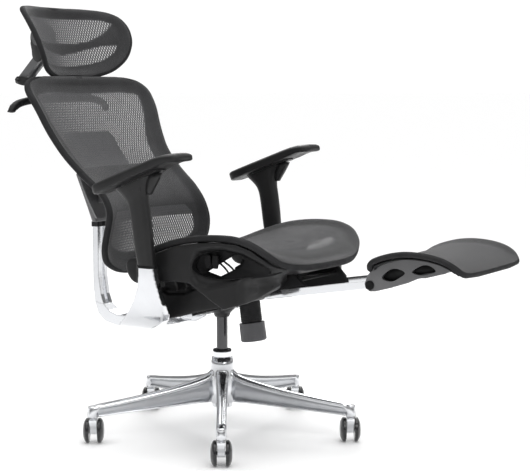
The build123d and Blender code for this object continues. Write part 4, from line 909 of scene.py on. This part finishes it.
for deg in LEGS:
    a = math.radians(deg)
    fine = [[along([q[0] for q in STN], [q[k] for q in STN], r) for k in (0, 1, 2, 3)] for r in list(np.linspace(24, 306, 40)) + list(np.linspace(309, 342.5, 18))]
    rings = []
    for r, zt, zb, w in fine:
        d = 0.17 * (zt - zb) + 4.0
        low = zt - d if r < 315 else max(zb - 1, zt - d - (r - 315) * 1.2)
        rings.append([(r, x * w, low + (zt - low) * h) for x, h in
                      ((-0.98, 0.0), (-1.0, 0.30), (-0.93, 0.62), (-0.70, 0.90), (-0.35, 0.985), (0, 1.0), (0.35, 0.985), (0.70, 0.90),
                       (0.93, 0.62), (1.0, 0.30), (0.98, 0.0), (0.5, -0.04), (-0.5, -0.04))])
    v, f = loft(rings)
    put(rail_v, rail_f, v, f, a)
    # lower edge of the leg
    rings = []
    for r, zt, zb, w in fine[:-12]:
        rings.append([(r, x * w * 0.80, zb + z) for x, z in ((-0.9, 0), (-1, 1.5), (-0.8, 4.0), (-0.5, 5.4), (0.5, 5.4), (0.8, 4.0), (1, 1.5), (0.9, 0))])
    v, f = loft(rings)
    put(rail_v, rail_f, v, f, a)
    # boss that carries the caster's stem
    rings = [[(330 + rr * math.cos(t), rr * math.sin(t), z) for t in np.linspace(0, 2 * math.pi, 40, endpoint=False)]
             for rr, z in ((10.4, 62.5), (11.2, 63.3), (11.2, 66), (11.8, 75), (12.2, 88), (11.0, 92))]
    v, f = loft(rings)
    put(rail_v, rail_f, v, f, a)
    rings = []
    for r, zt, zb, w in fine[:-10]:
        hw = 6.0 + 3.0 * step(60 - r, 0, 30)
        rings.append([(r, -hw, zb + 3), (r, hw, zb + 3), (r, hw * 0.9, (zb + zt) / 2), (r, hw, zt - 8), (r, -hw, zt - 8), (r, -hw * 0.9, (zb + zt) / 2)])
    v, f = loft(rings)
    put(web_v, web_f, v, f, a)
hub = [(25.2, 84), (36, 83), (37.4, 85), (37.4, 112), (36.2, 130), (33.0, 148), (30.0, 164), (28.4, 178), (28.0, 184), (27.0, 185.2), (26.4, 188), (26.4, 193.6), (25.2, 195)]
n0 = 90
rings = [[(r * math.cos(t), r * math.sin(t), z) for t in np.linspace(0, 2 * math.pi, n0, endpoint=False)] for r, z in hub]
v, f = loft(rings, cap=False, loop=True)
put(rail_v, rail_f, v, f, 0.0)
solid("base_rails", rail_v, rail_f, M["alloy"], "base", "base_alloy", ["star_base"])
solid("base_webs", web_v, web_f, M["satin"], "base", "base_alloy")

# --------------------------------------------------------------------------
# stage: pale floor, studio light
# --------------------------------------------------------------------------
fm, fnt, fb = new_mat("studio_floor")
fvec = node(fnt, "ShaderNodeTexCoord").outputs["Object"]
fnt.links.new(tint(fnt, noise(fnt, fvec, 3.0), (0.93, 0.93, 0.93), (0.95, 0.95, 0.95)), fb.inputs["Base Color"])
fb.inputs["Roughness"].default_value = 0.9
fb.inputs["Specular IOR Level"].default_value = 0.1
fb.inputs["Emission Color"].default_value = (1, 1, 1, 1)
fb.inputs["Emission Strength"].default_value = 0.10
bpy.ops.mesh.primitive_circle_add(vertices=96, radius=220.0, fill_type="NGON", location=(0, 0, -0.0006))
floor = bpy.context.object
floor.name = "studio_floor"
floor.data.materials.append(fm)

world = bpy.data.worlds.new("studio")
scene.world = world
world.use_nodes = True
wnt = world.node_tree
wnt.nodes.clear()
wv = node(wnt, "ShaderNodeTexCoord").outputs["Generated"]
wsep = node(wnt, "ShaderNodeSeparateXYZ", None, Vector=wv)
up = wsep.outputs[2]
# white near the horizon, a darker band higher up, bright overhead
low = ramp(wnt, up, 0.065, 0.11, 0.86, 0.20)
high = ramp(wnt, up, 0.34, 0.62, 0.0, 1.0)
level = math_node(wnt, "MAXIMUM", low, high)
bg = node(wnt, "ShaderNodeBackground", None, Strength=1.0)
wnt.links.new(tint(wnt, level, (0, 0, 0), (1.22, 1.22, 1.22)), bg.inputs[0])
wout = wnt.nodes.new("ShaderNodeOutputWorld")
wnt.links.new(bg.outputs[0], wout.inputs[0])


def area(name, where, to, size, power, size_y=None):
    li = bpy.data.lights.new(name, "AREA")
    li.shape = "RECTANGLE"
    li.size, li.size_y = size, size_y or size
    li.energy = power
    ob = bpy.data.objects.new(name, li)
    scene.collection.objects.link(ob)
    ob.location = where
    ob.rotation_mode = "QUATERNION"
    ob.rotation_quaternion = (Vector(to) - Vector(where)).to_track_quat("-Z", "Y")
    return ob


area("key_soft", (-1.6, -2.6, 2.6), (0, 0, 0.5), 1.8, 26.0)
area("top_soft", (0.3, -0.2, 3.2), (0, 0, 0.4), 3.0, 40.0)
area("rim_soft", (2.4, 1.2, 1.8), (0, 0, 0.6), 1.4, 24.0)
scene.view_settings.view_transform = "Standard"
